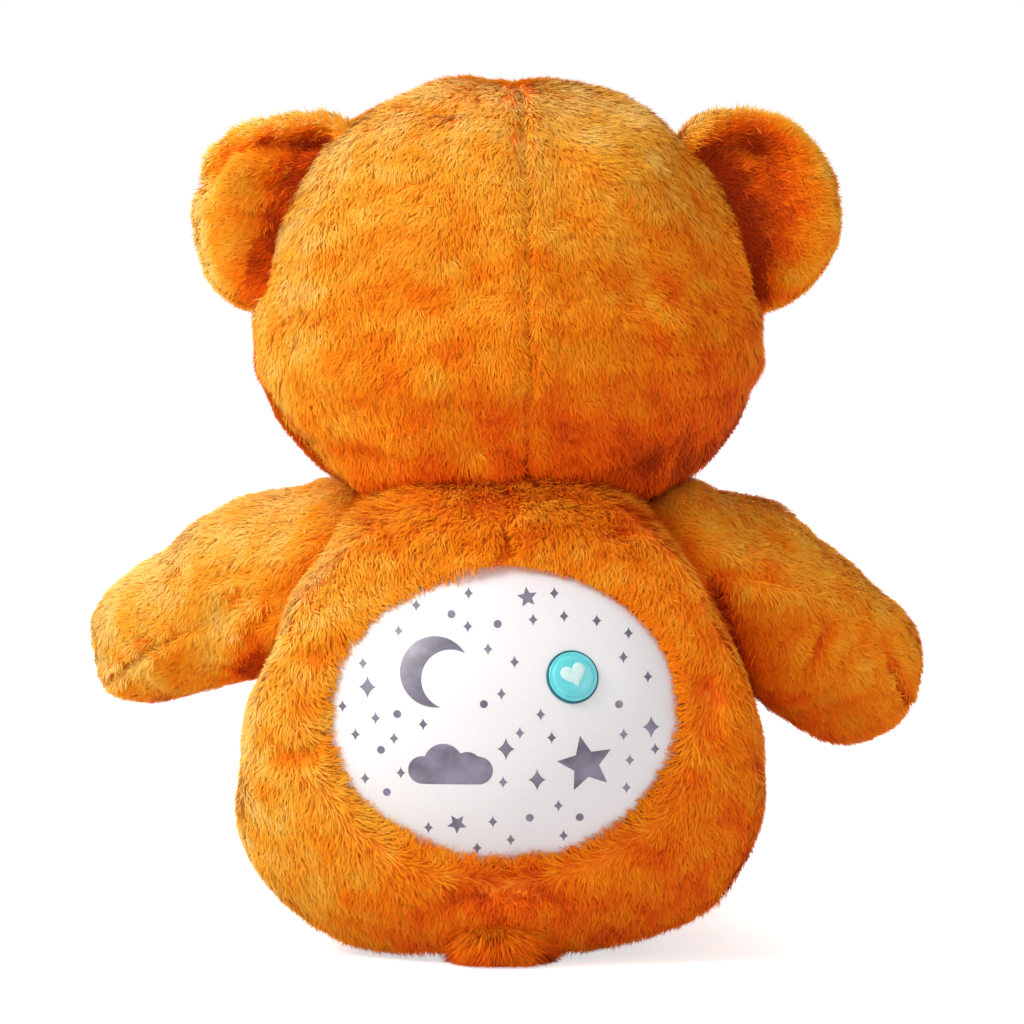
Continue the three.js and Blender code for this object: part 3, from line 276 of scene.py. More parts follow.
def stuffed(form, rows, cols):
    # around: a superellipse section; along: height as a power of the sine of a turn from pole to pole
    turn = np.linspace(-np.pi / 2, np.pi / 2, rows)[:, None]
    around = np.linspace(0, 2 * np.pi, cols, endpoint=False)[None, :]
    rising = np.sin(turn)
    power = np.where(rising < 0, form["downPower"], form["upPower"])
    reach = np.where(rising < 0, form["down"], form["up"])
    height = np.sign(rising) * reach * np.abs(rising) ** (2 / power)
    share = ringShare(form, height)
    front, back, section = sectionOf(form, height)
    across = share * np.sign(np.cos(around)) * np.abs(np.cos(around)) ** (2 / section)
    deep = share * np.sign(np.sin(around)) * np.abs(np.sin(around)) ** (2 / section)
    droop = form.get("droopBy", 0) * (np.maximum(height, 0) / form["up"]) ** 2
    x = form["halfWidth"] * across + droop
    y = np.where(deep > 0, back, front) * deep
    return np.stack([x, y, np.broadcast_to(height, x.shape)], -1)


def shrunk(form, by):
    sizes = ("halfWidth", "depthFront", "depthBack", "up", "down")
    return {**form, **{size: form[size] - by for size in sizes}}


def insideForm(form, matrix, points, by):
    # true where points lie inside a form made smaller by a depth
    local = localTo(points, matrix)
    small = shrunk(form, by)
    height = np.clip(local[..., 2], -small["down"], small["up"])
    share = np.maximum(ringShare(small, height), 1e-6)
    front, back, section = sectionOf(small, height)
    across = np.abs(local[..., 0] - small.get("droopBy", 0) * (np.maximum(height, 0) / small["up"]) ** 2)
    deep = np.abs(local[..., 1]) / np.where(local[..., 1] > 0, back, front)
    reach = (across / small["halfWidth"] / share) ** section + (deep / share) ** section
    return (reach < 1) & (height == local[..., 2])


def frameOf(origin, xAxis, yAxis, zAxis):
    matrix = np.eye(4)
    matrix[:3, 0], matrix[:3, 1], matrix[:3, 2], matrix[:3, 3] = xAxis, yAxis, zAxis, origin
    return matrix


def unit(vectors):
    return vectors / np.maximum(np.linalg.norm(vectors, axis=-1, keepdims=True), 1e-9)


def framedAlong(origin, direction, near):
    zAxis = unit(np.array(direction, float))
    near = np.array(near, float)
    yAxis = unit(near - near.dot(zAxis) * zAxis)
    return frameOf(origin, np.cross(yAxis, zAxis), yAxis, zAxis)


def moved(x, y, z):
    return frameOf((x, y, z), (1, 0, 0), (0, 1, 0), (0, 0, 1))


def turnOf(degrees):
    return math.cos(math.radians(degrees)), math.sin(math.radians(degrees))


def turnedZ(degrees):
    cosine, sine = turnOf(degrees)
    return frameOf((0, 0, 0), (cosine, sine, 0), (-sine, cosine, 0), (0, 0, 1))


def turnedY(degrees):
    cosine, sine = turnOf(degrees)
    return frameOf((0, 0, 0), (cosine, 0, -sine), (0, 1, 0), (sine, 0, cosine))


def placed(points, matrix):
    return points @ matrix[:3, :3].T + matrix[:3, 3]


def localTo(points, place):
    # points in a place's own frame
    return placed(points, np.linalg.inv(place))


def onSurface(at, right, above, step, near):
    # a frame that stands square on a surface, by the surface's slopes either side of a place
    alongX = at(right + step, above) - at(right - step, above)
    alongY = at(right, above + step) - at(right, above - step)
    return framedAlong(at(right, above), np.cross(alongX, alongY), near)


def atHeight(flat, height):
    # points in a plane, each given its height above it
    return np.concatenate([flat, height[..., None]], -1)


def smoothStep(low, high, value):
    share = np.clip((value - low) / (high - low), 0, 1)
    return share * share * (3 - 2 * share)


def faded(amount, low, high, value):
    # an amount that grows from nothing at low to the whole at high
    return amount * smoothStep(low, high, value)


def bell(value, middle, width):
    # 1 at the middle, falling with the square of the distance
    return np.exp(-((value - middle) / width) ** 2)


# painted light: how much paler the pile is where it faces the key lamp, and across the side towards it
paintedKeyLight = {"facing": (0.27, 0.25, 0.95), "across": (0.2, 5, 80)}


def paintedLitFacing(normals):
    # painted light: paler where the pile faces the key lamp's side
    return faded(*paintedKeyLight["facing"], normals[:, 0])


def paintedLitSide(points, normals):
    # painted light: the whole side towards the key lamp is a little paler, and more so where it faces it
    return faded(*paintedKeyLight["across"], points[:, 0]) + paintedLitFacing(normals)


def waves(points, wavelength, seed, count=12):
    # a sum of sine waves in random directions, mostly between -1 and 1
    rng = np.random.default_rng(seed)
    along = unit(rng.normal(size=(count, 3))) / (wavelength * rng.uniform(0.7, 1.5, (count, 1)))
    angle = 2 * np.pi * (points @ along.T) + rng.uniform(0, 2 * np.pi, count)
    return np.sin(angle).sum(-1) / math.sqrt(count)


def gridNormals(grid):
    # cross product of the steps around and along, with the poles taking the mean of the ring beside them
    around = np.roll(grid, -1, axis=1) - np.roll(grid, 1, axis=1)
    normals = unit(np.cross(around, np.gradient(grid, axis=0)))
    normals[0], normals[-1] = unit(normals[1].mean(0)), unit(normals[-2].mean(0))
    return normals


def pictured(points):
    # the picture's pixels of points, by the camera's own perspective
    height = points[..., 2] - photoView["aimHeight"]
    toward = points[..., 1] * math.cos(photoLift) + height * math.sin(photoLift)
    upward = height * math.cos(photoLift) - points[..., 1] * math.sin(photoLift)
    grow = photoAway / (photoAway - toward) / photoView["scale"]
    middle = photoView["pixels"] / 2
    return np.stack([middle + (photoView["aimAcross"] - points[..., 0]) * grow, middle - upward * grow], -1)


def fromLine(places, line):
    # millimetres from a line of picture places, and the share of the way along it
    line = np.array(line, float)
    steps = np.diff(line, axis=0)
    lengths = np.linalg.norm(steps, axis=1)
    nearest, way = np.full(places.shape[:-1], np.inf), np.zeros(places.shape[:-1])
    for start, step, length, before in zip(line, steps, lengths, np.cumsum(lengths) - lengths):
        share = np.clip(((places - start) @ step) / length ** 2, 0, 1)
        gap = np.linalg.norm(places - start - share[..., None] * step, axis=-1)
        closer = gap < nearest
        nearest = np.where(closer, gap, nearest)
        way = np.where(closer, (before + share * length) / lengths.sum(), way)
    return nearest * photoView["scale"], way


creaseLook = {"facing": (0.05, 0.4), "swell": 0.3, "swellAt": 2.2, "swellWidth": 0.9}


def folds(points, normals, creases):
    # depth of the picture's creases at each point, and the height of the soft swell on both sides of them;
    # a crease is its width, its depth, the shares of its way that it fades in and out by, and its line
    pinch, swell = np.zeros((2,) + points.shape[:-1])
    toCamera = np.array([0, math.cos(photoLift), math.sin(photoLift)])
    facing = smoothStep(*creaseLook["facing"], normals @ toCamera)
    places = pictured(points)
    for width, depth, fadeIn, fadeOut, line in creases:
        gap, way = fromLine(places, line)
        deep = depth * facing * smoothStep(-0.01, fadeIn, way) * smoothStep(1.01, 1 - fadeOut, way)
        pinch += deep * bell(gap, 0, width)
        swell += deep * creaseLook["swell"] * bell(gap, creaseLook["swellAt"] * width,
                                                   creaseLook["swellWidth"] * width)
    return pinch, swell


def pushed(grid, amount, normals):
    # moved out of the skin by an amount at each point
    return grid + amount[..., None] * normals


def creased(grid, creases):
    normals = gridNormals(grid)
    pinch, swell = folds(grid, normals, creases)
    return pushed(grid, swell - pinch, normals)


def newObject(name, mesh, material, body):
    mesh.materials.append(material)
    piece = linked(name, mesh)
    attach(piece, body)
    return piece


def closedGrid(grid, first=0):
    # rings of quads closed by a fan at each end, where a whole row is one point
    rows, cols = grid.shape[:2]
    vertices = np.vstack([grid[0, :1], grid[1:-1].reshape(-1, 3), grid[-1, :1]])
    ring = np.arange(cols)
    following = np.roll(ring, -1)
    start = 1 + cols * np.arange(rows - 3)[:, None]
    quads = np.stack([start + ring, start + following, start + cols + following, start + cols + ring], -1)
    last = 1 + cols * (rows - 3)
    low = np.stack([np.zeros_like(ring), 1 + following, 1 + ring], -1)
    high = np.stack([last + ring, last + following, np.full_like(ring, len(vertices) - 1)], -1)
    faces = (quads.reshape(-1, 4) + first).tolist() + (low + first).tolist() + (high + first).tolist()
    return vertices, faces


def smoothMesh(name, vertices, faces, crisp):
    # smooth, with hard edges where faces meet more sharply than crisp degrees
    mesh = bpy.data.meshes.new(name)
    mesh.from_pydata((vertices * mm).tolist(), [], faces)
    mesh.shade_smooth()
    if crisp:
        mesh.set_sharp_from_angle(angle=math.radians(crisp))
    return mesh


def gridsPiece(name, grids, material, body, nodes=(), crisp=None):
    # one piece of one or more closed grids
    vertices, faces = [], []
    for grid in grids:
        more, added = closedGrid(grid, sum(map(len, vertices)))
        vertices.append(more)
        faces += added
    piece = newObject(name, smoothMesh(name, np.vstack(vertices), faces, crisp), material, body)
    if nodes:
        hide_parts(*nodes)
    return piece


def tube(path, radius, cols=8):
    # rings square to a path, drawn in to a point at both ends
    path = np.array(path, float)
    along = unit(np.gradient(path, axis=0))
    side = unit(np.cross(along, (0.3, 0.2, 1.0)))
    over = np.cross(along, side)
    around = np.linspace(0, 2 * np.pi, cols, endpoint=False)[None, :, None]
    ring = side[:, None] * np.cos(around) + over[:, None] * np.sin(around)
    ends = np.concatenate([path[:1], path, path[-1:]])[:, None]
    reach = np.array([0.0] + [radius] * len(path) + [0.0])[:, None, None]
    return ends + reach * ring[[0, *range(len(path)), -1]]


# Pile: short flat fibres in small clumps, each a leaf of two triangles bent at its widest place

def scatter(grid, normals, count, rng):
    # places spread evenly over the grid, each inside a cell picked by its area
    right, up = np.roll(grid, -1, axis=1), grid[1:]
    area = np.linalg.norm(np.cross(right[:-1] - grid[:-1], up - grid[:-1]), axis=-1)
    picked = rng.choice(area.size, count, p=area.ravel() / area.sum())
    row, col = np.unravel_index(picked, area.shape)
    following = (col + 1) % grid.shape[1]
    s, t = rng.random((2, count, 1))

    def at(values):
        low = values[row, col] * (1 - s) + values[row, following] * s
        high = values[row + 1, col] * (1 - s) + values[row + 1, following] * s
        return low * (1 - t) + high * t
    return at(grid), unit(at(normals))


clumpTable, clumpPrimes = 4096, (73856093, 19349663, 83492791)  # spread the cubes over a table of chances


def clumpsOf(points, size, seed):
    # the nearest of scattered clump centres: one in each cube of space, moved about inside it at random
    rng = np.random.default_rng(seed)
    table = rng.random((clumpTable, 5))
    cell = np.floor(points / size).astype(int)
    best = np.full(len(points), np.inf)
    centre, chance = np.zeros_like(points), np.zeros((len(points), 2))
    for step in np.ndindex(3, 3, 3):
        near = cell + np.array(step) - 1
        code = np.bitwise_xor.reduce(near * clumpPrimes, axis=1) % clumpTable
        place = (near + table[code, :3]) * size
        distance = ((points - place) ** 2).sum(1)
        closer = distance < best
        best[closer], centre[closer] = distance[closer], place[closer]
        chance[closer] = table[code[closer], 3:]
    return centre, chance


def onSkin(vectors, normals):
    # what is left of vectors in the plane of the skin
    return vectors - (vectors * normals).sum(1, keepdims=True) * normals


def turned(ways, normals, angle):
    return ways * np.cos(angle) + np.cross(normals, ways) * np.sin(angle)


plushes = {"fur": (orangeBacking, orangePile), "pale_fur": (paleBacking, palePile)}


def plushPiece(name, grid, body, slot, settings, comb, **ways):
    # a padded skin in place of the frame's soft piece of that name, and the pile on it
    backing, fibres = plushes[slot]
    gridsPiece(f"{name}_plush", [grid], backing, body, [name])
    pilePieces(f"{name}_pile", grid, settings, fibres, body, slot, comb, **ways)


def whole(points, normals):
    return np.ones(len(points), bool)


def nothing(points, normals):
    return 0


def pilePieces(name, grid, settings, material, body, slot, comb, keep, share=whole, tone=nothing,
               lift=nothing, creases=(), parts=None):
    # comb gives the way the fibres lie; keep, share, tone and lift change them by place
    look = {**pile, **settings}
    rng = np.random.default_rng(look["seed"])
    roots, normals = scatter(grid, gridNormals(grid), look["count"], rng)
    kept = keep(roots, normals)
    roots, normals = roots[kept], normals[kept]
    count = len(roots)
    column = (count, 1)
    centre, chance = clumpsOf(roots, look["clump"], look["seed"] + 2)
    patch = waves(roots, look["patch"], look["seed"] + 3)
    swirl = look["swirl"] * waves(roots, look["swirlSize"], look["seed"] + 1)
    swirl = swirl + 2 * look["clumpTurn"] * (chance[:, 0] - 0.5)
    combed = turned(unit(onSkin(comb(roots, normals), normals)), normals, np.radians(swirl)[:, None])
    combed = unit(onSkin(combed + look["stray"] * rng.normal(size=(count, 3)), normals))
    length = look["length"] * (look["shortest"] + look["chance"] * rng.random(count)
                               + look["clumpLength"] * (chance[:, 1] - 0.5) + look["patchLength"] * patch)
    pinch, _ = folds(roots, normals, creases)
    length = length * share(roots, normals) * (1 - look["foldLength"] * np.minimum(pinch, 3))
    length = length[:, None]
    lean = 2 * look["clumpLean"] * (chance[:, 1] - 0.5) + look["patchLean"] * patch
    lean = lean + look["leanSpread"] * rng.normal(size=count) - lift(roots, normals)
    low = np.radians(np.clip(look["rootLean"] + lean, *look["rootLeans"]))[:, None]
    high = np.radians(np.clip(look["tipLean"] + lean, *look["tipLeans"]))[:, None]
    base = roots - look["sink"] * normals
    below, above = look["below"] * length + look["sink"], look["above"] * length
    middle = base + below * (np.cos(low) * normals + np.sin(low) * combed)
    tip = middle + above * (np.cos(high) * normals + np.sin(high) * combed)
    # tips draw in towards the middle of their clump, in the plane of the skin
    offset = onSkin(centre - roots, normals) * look["gather"]
    tip, middle = tip + offset, middle + look["gatherMiddle"] * offset
    along = unit(tip - base)
    side = unit(np.cross(along, normals))
    roll = np.radians(look["roll"]) * rng.uniform(-1, 1, column)
    side = side * np.cos(roll) + np.cross(along, side) * np.sin(roll)
    half = 0.5 * look["width"] * rng.uniform(*look["widths"], column)
    vertices = np.stack([base, middle - half * side, middle + half * side, tip], 1)
    vertices[..., 2] = np.maximum(vertices[..., 2], ground)
    value = look["tone"] + look["patchTone"] * patch + look["clumpTone"] * (chance[:, 0] - 0.5)
    value = value + look["chanceTone"] * rng.normal(size=count)
    # painted light on faces turned up, and painted shade in the creases
    value = value + look["paintedUpwardLight"] * normals[:, 2] - look["paintedFoldShade"] * pinch + tone(roots, normals)
    value = np.clip(value, *look["tones"])
    shade = unit(look["skinShade"] * normals + look["fibreShade"] * unit(np.cross(side, along)))
    for part, holds in (parts or {"": whole}).items():
        mine = holds(roots, normals)
        pileMesh(name + part, vertices[mine], value[mine], shade[mine], material, body)


def pileMesh(name, vertices, value, shade, material, body):
    count = len(vertices)
    corners = (4 * np.arange(count)[:, None, None] + np.array([[0, 2, 1], [1, 2, 3]])).astype(np.int32)
    mesh = bpy.data.meshes.new(name)
    mesh.vertices.add(4 * count)
    mesh.vertices.foreach_set("co", (vertices * mm).astype(np.float32).ravel())
    mesh.loops.add(6 * count)
    mesh.loops.foreach_set("vertex_index", corners.ravel())
    mesh.polygons.add(2 * count)
    mesh.polygons.foreach_set("loop_start", 3 * np.arange(2 * count, dtype=np.int32))
    mesh.update(calc_edges=True)
    mesh.shade_smooth()
    # the map: each fibre's tone across it, with a little width, and root to tip up it
    width = pile["mapWidth"]
    across = np.stack([value, value - width, value + width, value], 1)
    upward = np.broadcast_to(np.array([0.01, 0.5, 0.5, 0.99]), across.shape)
    places = np.stack([across, upward], -1).reshape(-1, 2)
    layer = mesh.uv_layers.new(name="OFBake")
    layer.uv.foreach_set("vector", places[corners.ravel()].astype(np.float32).ravel())
    mesh.normals_split_custom_set_from_vertices(np.repeat(shade, 4, axis=0).astype(np.float32))
    newObject(name, mesh, material, body)


def quarters(place):
    # four parts of a piece, by the side of its own middle planes
    def quarter(left, back):
        def holds(points, normals):
            local = localTo(points, place)
            return ((local[:, 0] > 0) == left) & ((local[:, 1] > 0) == back)
        return holds
    return {f"_{'back' if back else 'front'}_{'left' if left else 'right'}": quarter(left, back)
            for back in (True, False) for left in (True, False)}


# Places of the soft pieces, from the frame's boxes and joints

torsoLow, torsoHigh = boxOf("body")
torsoTop, torsoWidest = torsoHigh[2], 60  # heights of its top and of its widest ring
torso = {"halfWidth": (torsoHigh[0] - torsoLow[0]) / 2, "depthFront": -torsoLow[1], "depthBack": 62.5,
         "up": torsoTop - torsoWidest, "down": torsoWidest + 0.5, "upPower": 2, "downPower": 2.6,
         "sectionPower": 2.8, "roundByShare": 0.8}
torsoPlace = moved(0, 0, torsoWidest)
headTurn, headShift = 5, (-1.5, -3)  # degrees, and millimetres aside and forward
skull = {"halfWidth": 85, "depthFront": 63, "depthBack": 60, "up": 88, "down": 52.5, "upPower": 2.2,
         "downPower": 2.6}
skullPlace = moved(0, 0, boxOf("head")[1][2] - skull["up"]) @ turnedZ(headTurn) @ moved(*headShift, 0)
limbs = {
    "arm": {"radius": 28.5, "upPower": 3.6, "taperShare": 0.14, "swing": 12, "near": (0, 1, 0),
            "reach": {"left": 86, "right": 94}, "drop": {"left": 24, "right": 29},
            "droop": {"left": 3, "right": 9}},
    "leg": {"radius": 28, "upPower": 5, "taperShare": 0.06, "swing": 85, "near": (0, 0, 1),
            "reach": {"left": 96, "right": 96}, "drop": {"left": 0, "right": 0},
            "droop": {"left": 0, "right": 0}},
}
signs = {"left": 1, "right": -1}


def limbRoot(kind, side):
    return np.array(joints[f"{side}_{kind}_lift"]["pos_m"]) / mm


def limbForm(kind, side):
    # the limb's form, and its frame from the joint out along the limb: dropped from level and swung forward
    limb, sign, radius = limbs[kind], signs[side], limbs[kind]["radius"]
    form = evenForm(radius, radius, radius, up=limb["reach"][side], upPower=limb["upPower"],
                    taperShare=limb["taperShare"], droopBy=sign * limb["droop"][side])
    (level, down), (out, forward) = turnOf(limb["drop"][side]), turnOf(limb["swing"])
    direction = (sign * level * out, -forward, -down * out)
    return form, framedAlong(limbRoot(kind, side), direction, limb["near"])


# Light unit: its frame in the middle of the dome's rim, with axes to the right, up and out of the back

dome = {"halfWidth": 58.5, "ovalShare": 0.84, "rise": 23, "wall": 2, "edge": 2.2, "edgeOut": 0.1,
        "height": 84, "tilt": 4, "holeLap": 0.2, "holeReach": (-6, 6), "rows": 40, "cols": 160}
level, down = turnOf(dome["tilt"])
rimBack = boxOf("star_dome")[1][1] - dome["rise"] * level
unitPlace = frameOf((0, rimBack, dome["height"]), (-1, 0, 0), (0, -down, level), (0, level, down))


def domeHeight(radius, halfWidth, rise):
    curve = (halfWidth ** 2 + rise ** 2) / (2 * rise)
    return np.sqrt(np.maximum(curve ** 2 - radius ** 2, 0)) - (curve - rise)


def rimDistance(points):
    # millimetres outside the dome's oval rim, and the points in the dome's frame
    local = localTo(points, unitPlace)
    return np.hypot(local[..., 0], local[..., 1] / dome["ovalShare"]) - dome["halfWidth"], local


# Body

mouth = {"top": 0.8, "crest": 3.8, "slope": 26.0, "bend": 4.0, "soft": 1.2, "lip": 1.0, "wall": 3.0,
         "floor": -6.0, "behind": (5, 25), "bare": 0.7, "bareAbove": 2.3, "bareRise": (-10, 35),
         # the pile near the rim: how much it leans in and how little down, its length, and how it stands up
         "combed": (13, 1), "combDown": 0.8, "combIn": 1.05, "long": 0.75, "longFrom": (9, 1),
         "short": (1.1, -25, 10), "shortRise": (-20, 25), "lift": (16, 10, 1)}
body = {"rows": 150, "cols": 260, "lump": 1.3, "lumpSize": 34, "seat": 1.2, "seam": 1.2, "seamWidth": 2.2,
        "neck": 2.4, "neckRise": (-30, -14), "neckLength": 0.2, "neckLift": 22, "sunk": 1.2,
        "sunkLeft": (2.0, 15, 60), "sunkRise": (85, 45), "seamLength": 0.3, "seamLengthWidth": 2,
        # what makes the pile redder, painted shade low down, above the tail, on the right and under the neck, and
        # the seam's darker tone: an amount, and from where to where it grows
        "lowShade": (0.04, 75, 15), "tailShade": (0.05, 60, 15), "tailRise": (48, 18),
        "rightShade": (0.05, -10, -70), "neckShade": 0.13, "seamTone": 0.12, "seamToneWidth": 1.4,
        # the pile is left out this deep in the head and near the limbs' roots, and under the seat
        "inHead": 7, "inLimbs": 9, "underSeat": 0.2, "pile": {"count": 280000, "seed": 11}}
# painted shade where forms meet
meetingShades = [(0.1, -4), (0.07, -9)]  # tones where forms meet, and how far outside the other form they reach
bodyCreases = [(2.0, 2.2, 0.3, 0.3, [(507, 518), (512, 540), (514, 562)]),
               (3.0, 2.4, 0.4, 0.5, [(692, 498), (697, 530), (699, 560)]),
               (2.4, 1.8, 0.5, 0.5, [(590, 520), (622, 530), (650, 528)]),
               (2.6, 1.6, 0.5, 0.5, [(300, 640), (322, 652), (340, 650)]),
               (3.2, 1.6, 0.5, 0.5, [(262, 742), (300, 752), (330, 745)]),
               (3.2, 1.5, 0.5, 0.5, [(700, 640), (712, 700), (706, 750)]),
               (3.5, 1.8, 0.4, 0.4, [(420, 905), (452, 892), (500, 885), (550, 890), (590, 905)])]


def pressMouth(grid):
    # the back swells a little up to the dome's rim and drops away inside it
    outside, local = rimDistance(grid)
    height = local[..., 2]
    facing = smoothStep(*mouth["behind"], grid[..., 1])
    past = outside - mouth["crest"]
    swell = mouth["top"] - past ** 2 / (2 * np.where(past > 0, mouth["slope"], mouth["bend"]))
    apart = (swell - height) / mouth["soft"]
    raised = height + mouth["soft"] * np.logaddexp(0, np.clip(apart, -40, 40))
    inside = smoothStep(mouth["lip"], mouth["lip"] - mouth["wall"], outside)
    raised = raised * (1 - inside) + mouth["floor"] * inside
    raised = height + (raised - height) * facing
    return placed(atHeight(local[..., :2], raised), unitPlace)


def bodyGrid():
    grid = placed(stuffed(shrunk(torso, pile["depth"]), body["rows"], body["cols"]), torsoPlace)
    normals = gridNormals(grid)
    grid = pushed(grid, body["lump"] * waves(grid, body["lumpSize"], 21), normals)
    grid = pushed(grid, -body["seam"] * bodySeam(grid, body["seamWidth"]), normals)
    grid = pushed(grid, body["neck"] * underNeck(grid) + seatSwell(grid), normals)
    return seated(creased(pressMouth(grid), bodyCreases))


def seated(grid):
    # flattened where it would reach the seat
    return atHeight(grid[..., :2], np.maximum(grid[..., 2], body["seat"]))


def bodySeam(points, width):
    return bell(points[..., 0], 0, width) * (points[..., 1] > 0)


def underNeck(points):
    # 1 on the shoulders under the head, where the pile meets the head's
    return smoothStep(*body["neckRise"], points[..., 2] - torsoTop)


def seatSwell(points):
    # the filling has sunk to the seat, more on one side
    deep = body["sunk"] + faded(*body["sunkLeft"], points[..., 0])
    return deep * smoothStep(*body["sunkRise"], points[..., 2])


def bodyComb(points, normals):
    # down the body, and in over the rim close to the dome
    outside, local = rimDistance(points)
    inward = unit(local * (-1, -1, 0)) @ unitPlace[:3, :3].T
    near = (smoothStep(*mouth["combed"], outside) * (points[:, 1] > 0))[:, None]
    return (1 - mouth["combDown"] * near) * np.array([0, 0, -1.0]) + mouth["combIn"] * near * inward


def paintedFoldShade(form, place, points, steps=meetingShades):
    # painted shade where pieces meet: redder near another form, and more so close to it
    return sum(amount * insideForm(form, place, points, depth) for amount, depth in steps)


def bodyTone(points, normals):
    # painted shade, redder low down, on the right, above the tail, under the neck and beside the arms, and redder
    # in the seam; painted light on the side towards the key lamp
    across, height = points[:, 0], points[:, 2]
    redder = faded(*body["lowShade"], height) + faded(*body["rightShade"], across)
    redder = redder + faded(*body["tailShade"], np.abs(across)) * smoothStep(*body["tailRise"], height)
    redder = redder + body["neckShade"] * underNeck(points)
    redder = redder + body["seamTone"] * bodySeam(points, body["seamToneWidth"])
    redder = redder + sum(paintedFoldShade(*limbForm("arm", side), points) for side in signs)
    return paintedLitSide(points, normals) - redder


def bodyLength(points, normals):
    # long round the mouth, short over its upper right rim and in the seam, longer under the neck
    outside, local = rimDistance(points)
    bare = smoothStep(*mouth["shortRise"], local[:, 1]) * faded(*mouth["short"], local[:, 0])
    rim = smoothStep(*mouth["longFrom"], outside) * (mouth["long"] - bare)
    seam = body["seamLength"] * bodySeam(points, body["seamLengthWidth"])
    return (1 + rim) * (1 - seam) * (1 + body["neckLength"] * underNeck(points))


def bodyLift(points, normals):
    # the pile stands up round the mouth and under the neck
    near = faded(*mouth["lift"], rimDistance(points)[0]) * (points[:, 1] > 0)
    return near + body["neckLift"] * underNeck(points)


def bodyKept(points, normals):
    outside, local = rimDistance(points)
    bare = mouth["bare"] + (mouth["bareAbove"] - mouth["bare"]) * smoothStep(*mouth["bareRise"], local[:, 1])
    kept = ~((outside < bare) & (points[:, 1] > 0))
    kept &= ~insideForm(skull, skullPlace, points, body["inHead"])
    kept &= ~((points[:, 2] < body["seat"] + body["underSeat"]) & (normals[:, 2] < -0.5))
    for kind, side in [(kind, side) for kind in limbs for side in signs]:
        away = np.linalg.norm(points - limbRoot(kind, side), axis=1)
        kept &= away > limbs[kind]["radius"] - body["inLimbs"]
    return kept


plushPiece("body", bodyGrid(), "trunk", "fur", body["pile"], bodyComb, keep=bodyKept, share=bodyLength,
           tone=bodyTone, lift=bodyLift, creases=bodyCreases, parts=quarters(torsoPlace))
print("body made")


# Tail: a small tuft of longer, darker pile

tail = {"radius": 13, "halfWidth": 17, "height": 8.5, "under": 6, "rows": 30, "cols": 48, "tone": -0.22,
        "combAbove": 13.6, "inBody": 7,
        "pile": {"count": 12000, "seed": 31, "length": 11.5, "clump": 5, "swirl": 60, "rootLean": 14,
                 "tipLean": 42}}


def makeTail():
    back = boxOf("tail")[1][1] - tail["radius"]
    form = shrunk(evenForm(tail["halfWidth"], tail["radius"], tail["radius"]), tail["under"])
    grid = seated(placed(stuffed(form, tail["rows"], tail["cols"]), moved(0, back, tail["height"])))
    plushPiece("tail", grid, "trunk", "fur", tail["pile"],
               lambda points, normals: points - (0, back, tail["combAbove"]),
               keep=lambda points, normals: ~insideForm(torso, torsoPlace, points, tail["inBody"]),
               tone=lambda points, normals: tail["tone"])


makeTail()
print("tail made")


# Arms and legs

limbLook = {
    "arm": {"rows": 130, "cols": 130, "lump": 1.5, "plump": {"left": 3.1, "right": 4.2}, "tone": 0.03,
            "napOut": 0, "napDown": 0.5, "napAlong": 1, "pile": {"count": 84000, "seed": 41}},
    # the legs' tone is higher: painted light lifting the shade under the belly
    "leg": {"rows": 70, "cols": 80, "lump": 0.8, "plump": {"left": 0, "right": 0}, "tone": 0.09,
            "napOut": 0.7, "napDown": 1, "napAlong": 0.3, "pile": {"count": 44000, "seed": 51}},
    "lumpSize": 24, "plumpAlong": (-5, 25), "plumpTop": 0.8, "paintedTopLight": 0.05,
    # the pile is left out this deep in the torso and the head, and under the sole
    "inTorso": 13, "inHead": 9, "underSole": 17.5, "soleEdge": 8,
}
armCreases = {
    "left": [(1.4, 2.0, 0.03, 0.7, [(108, 676), (150, 650), (190, 626), (232, 604)]),
             (2.2, 1.1, 0.5, 0.3, [(195, 585), (240, 570), (275, 575)]),
             (2.0, 1.0, 0.5, 0.3, [(225, 607), (255, 592), (285, 590)]),
             (2.2, 1.4, 0.5, 0.1, [(235, 640), (262, 622), (285, 600)]),
             (2.4, 1.0, 0.4, 0.4, [(180, 550), (188, 572), (180, 592)]),
             (4.5, 2.4, 0.4, 0.1, [(228, 672), (252, 660), (275, 640)])],
    "right": [(3.0, 2.6, 0.2, 0.3, [(702, 560), (722, 610), (746, 690), (770, 716)]),
              (2.2, 1.3, 0.2, 0.4, [(703, 560), (740, 570), (785, 582), (808, 581)]),
              (2.2, 1.4, 0.3, 0.4, [(812, 600), (819, 625), (811, 652), (790, 675)]),
              (2.0, 1.3, 0.4, 0.4, [(795, 615), (785, 632), (772, 645)]),
              (1.5, 1.9, 0.5, 0.05, [(868, 628), (882, 655), (893, 680), (905, 704)]),
              (2.4, 1.2, 0.4, 0.4, [(745, 520), (770, 540), (780, 562)])],
}


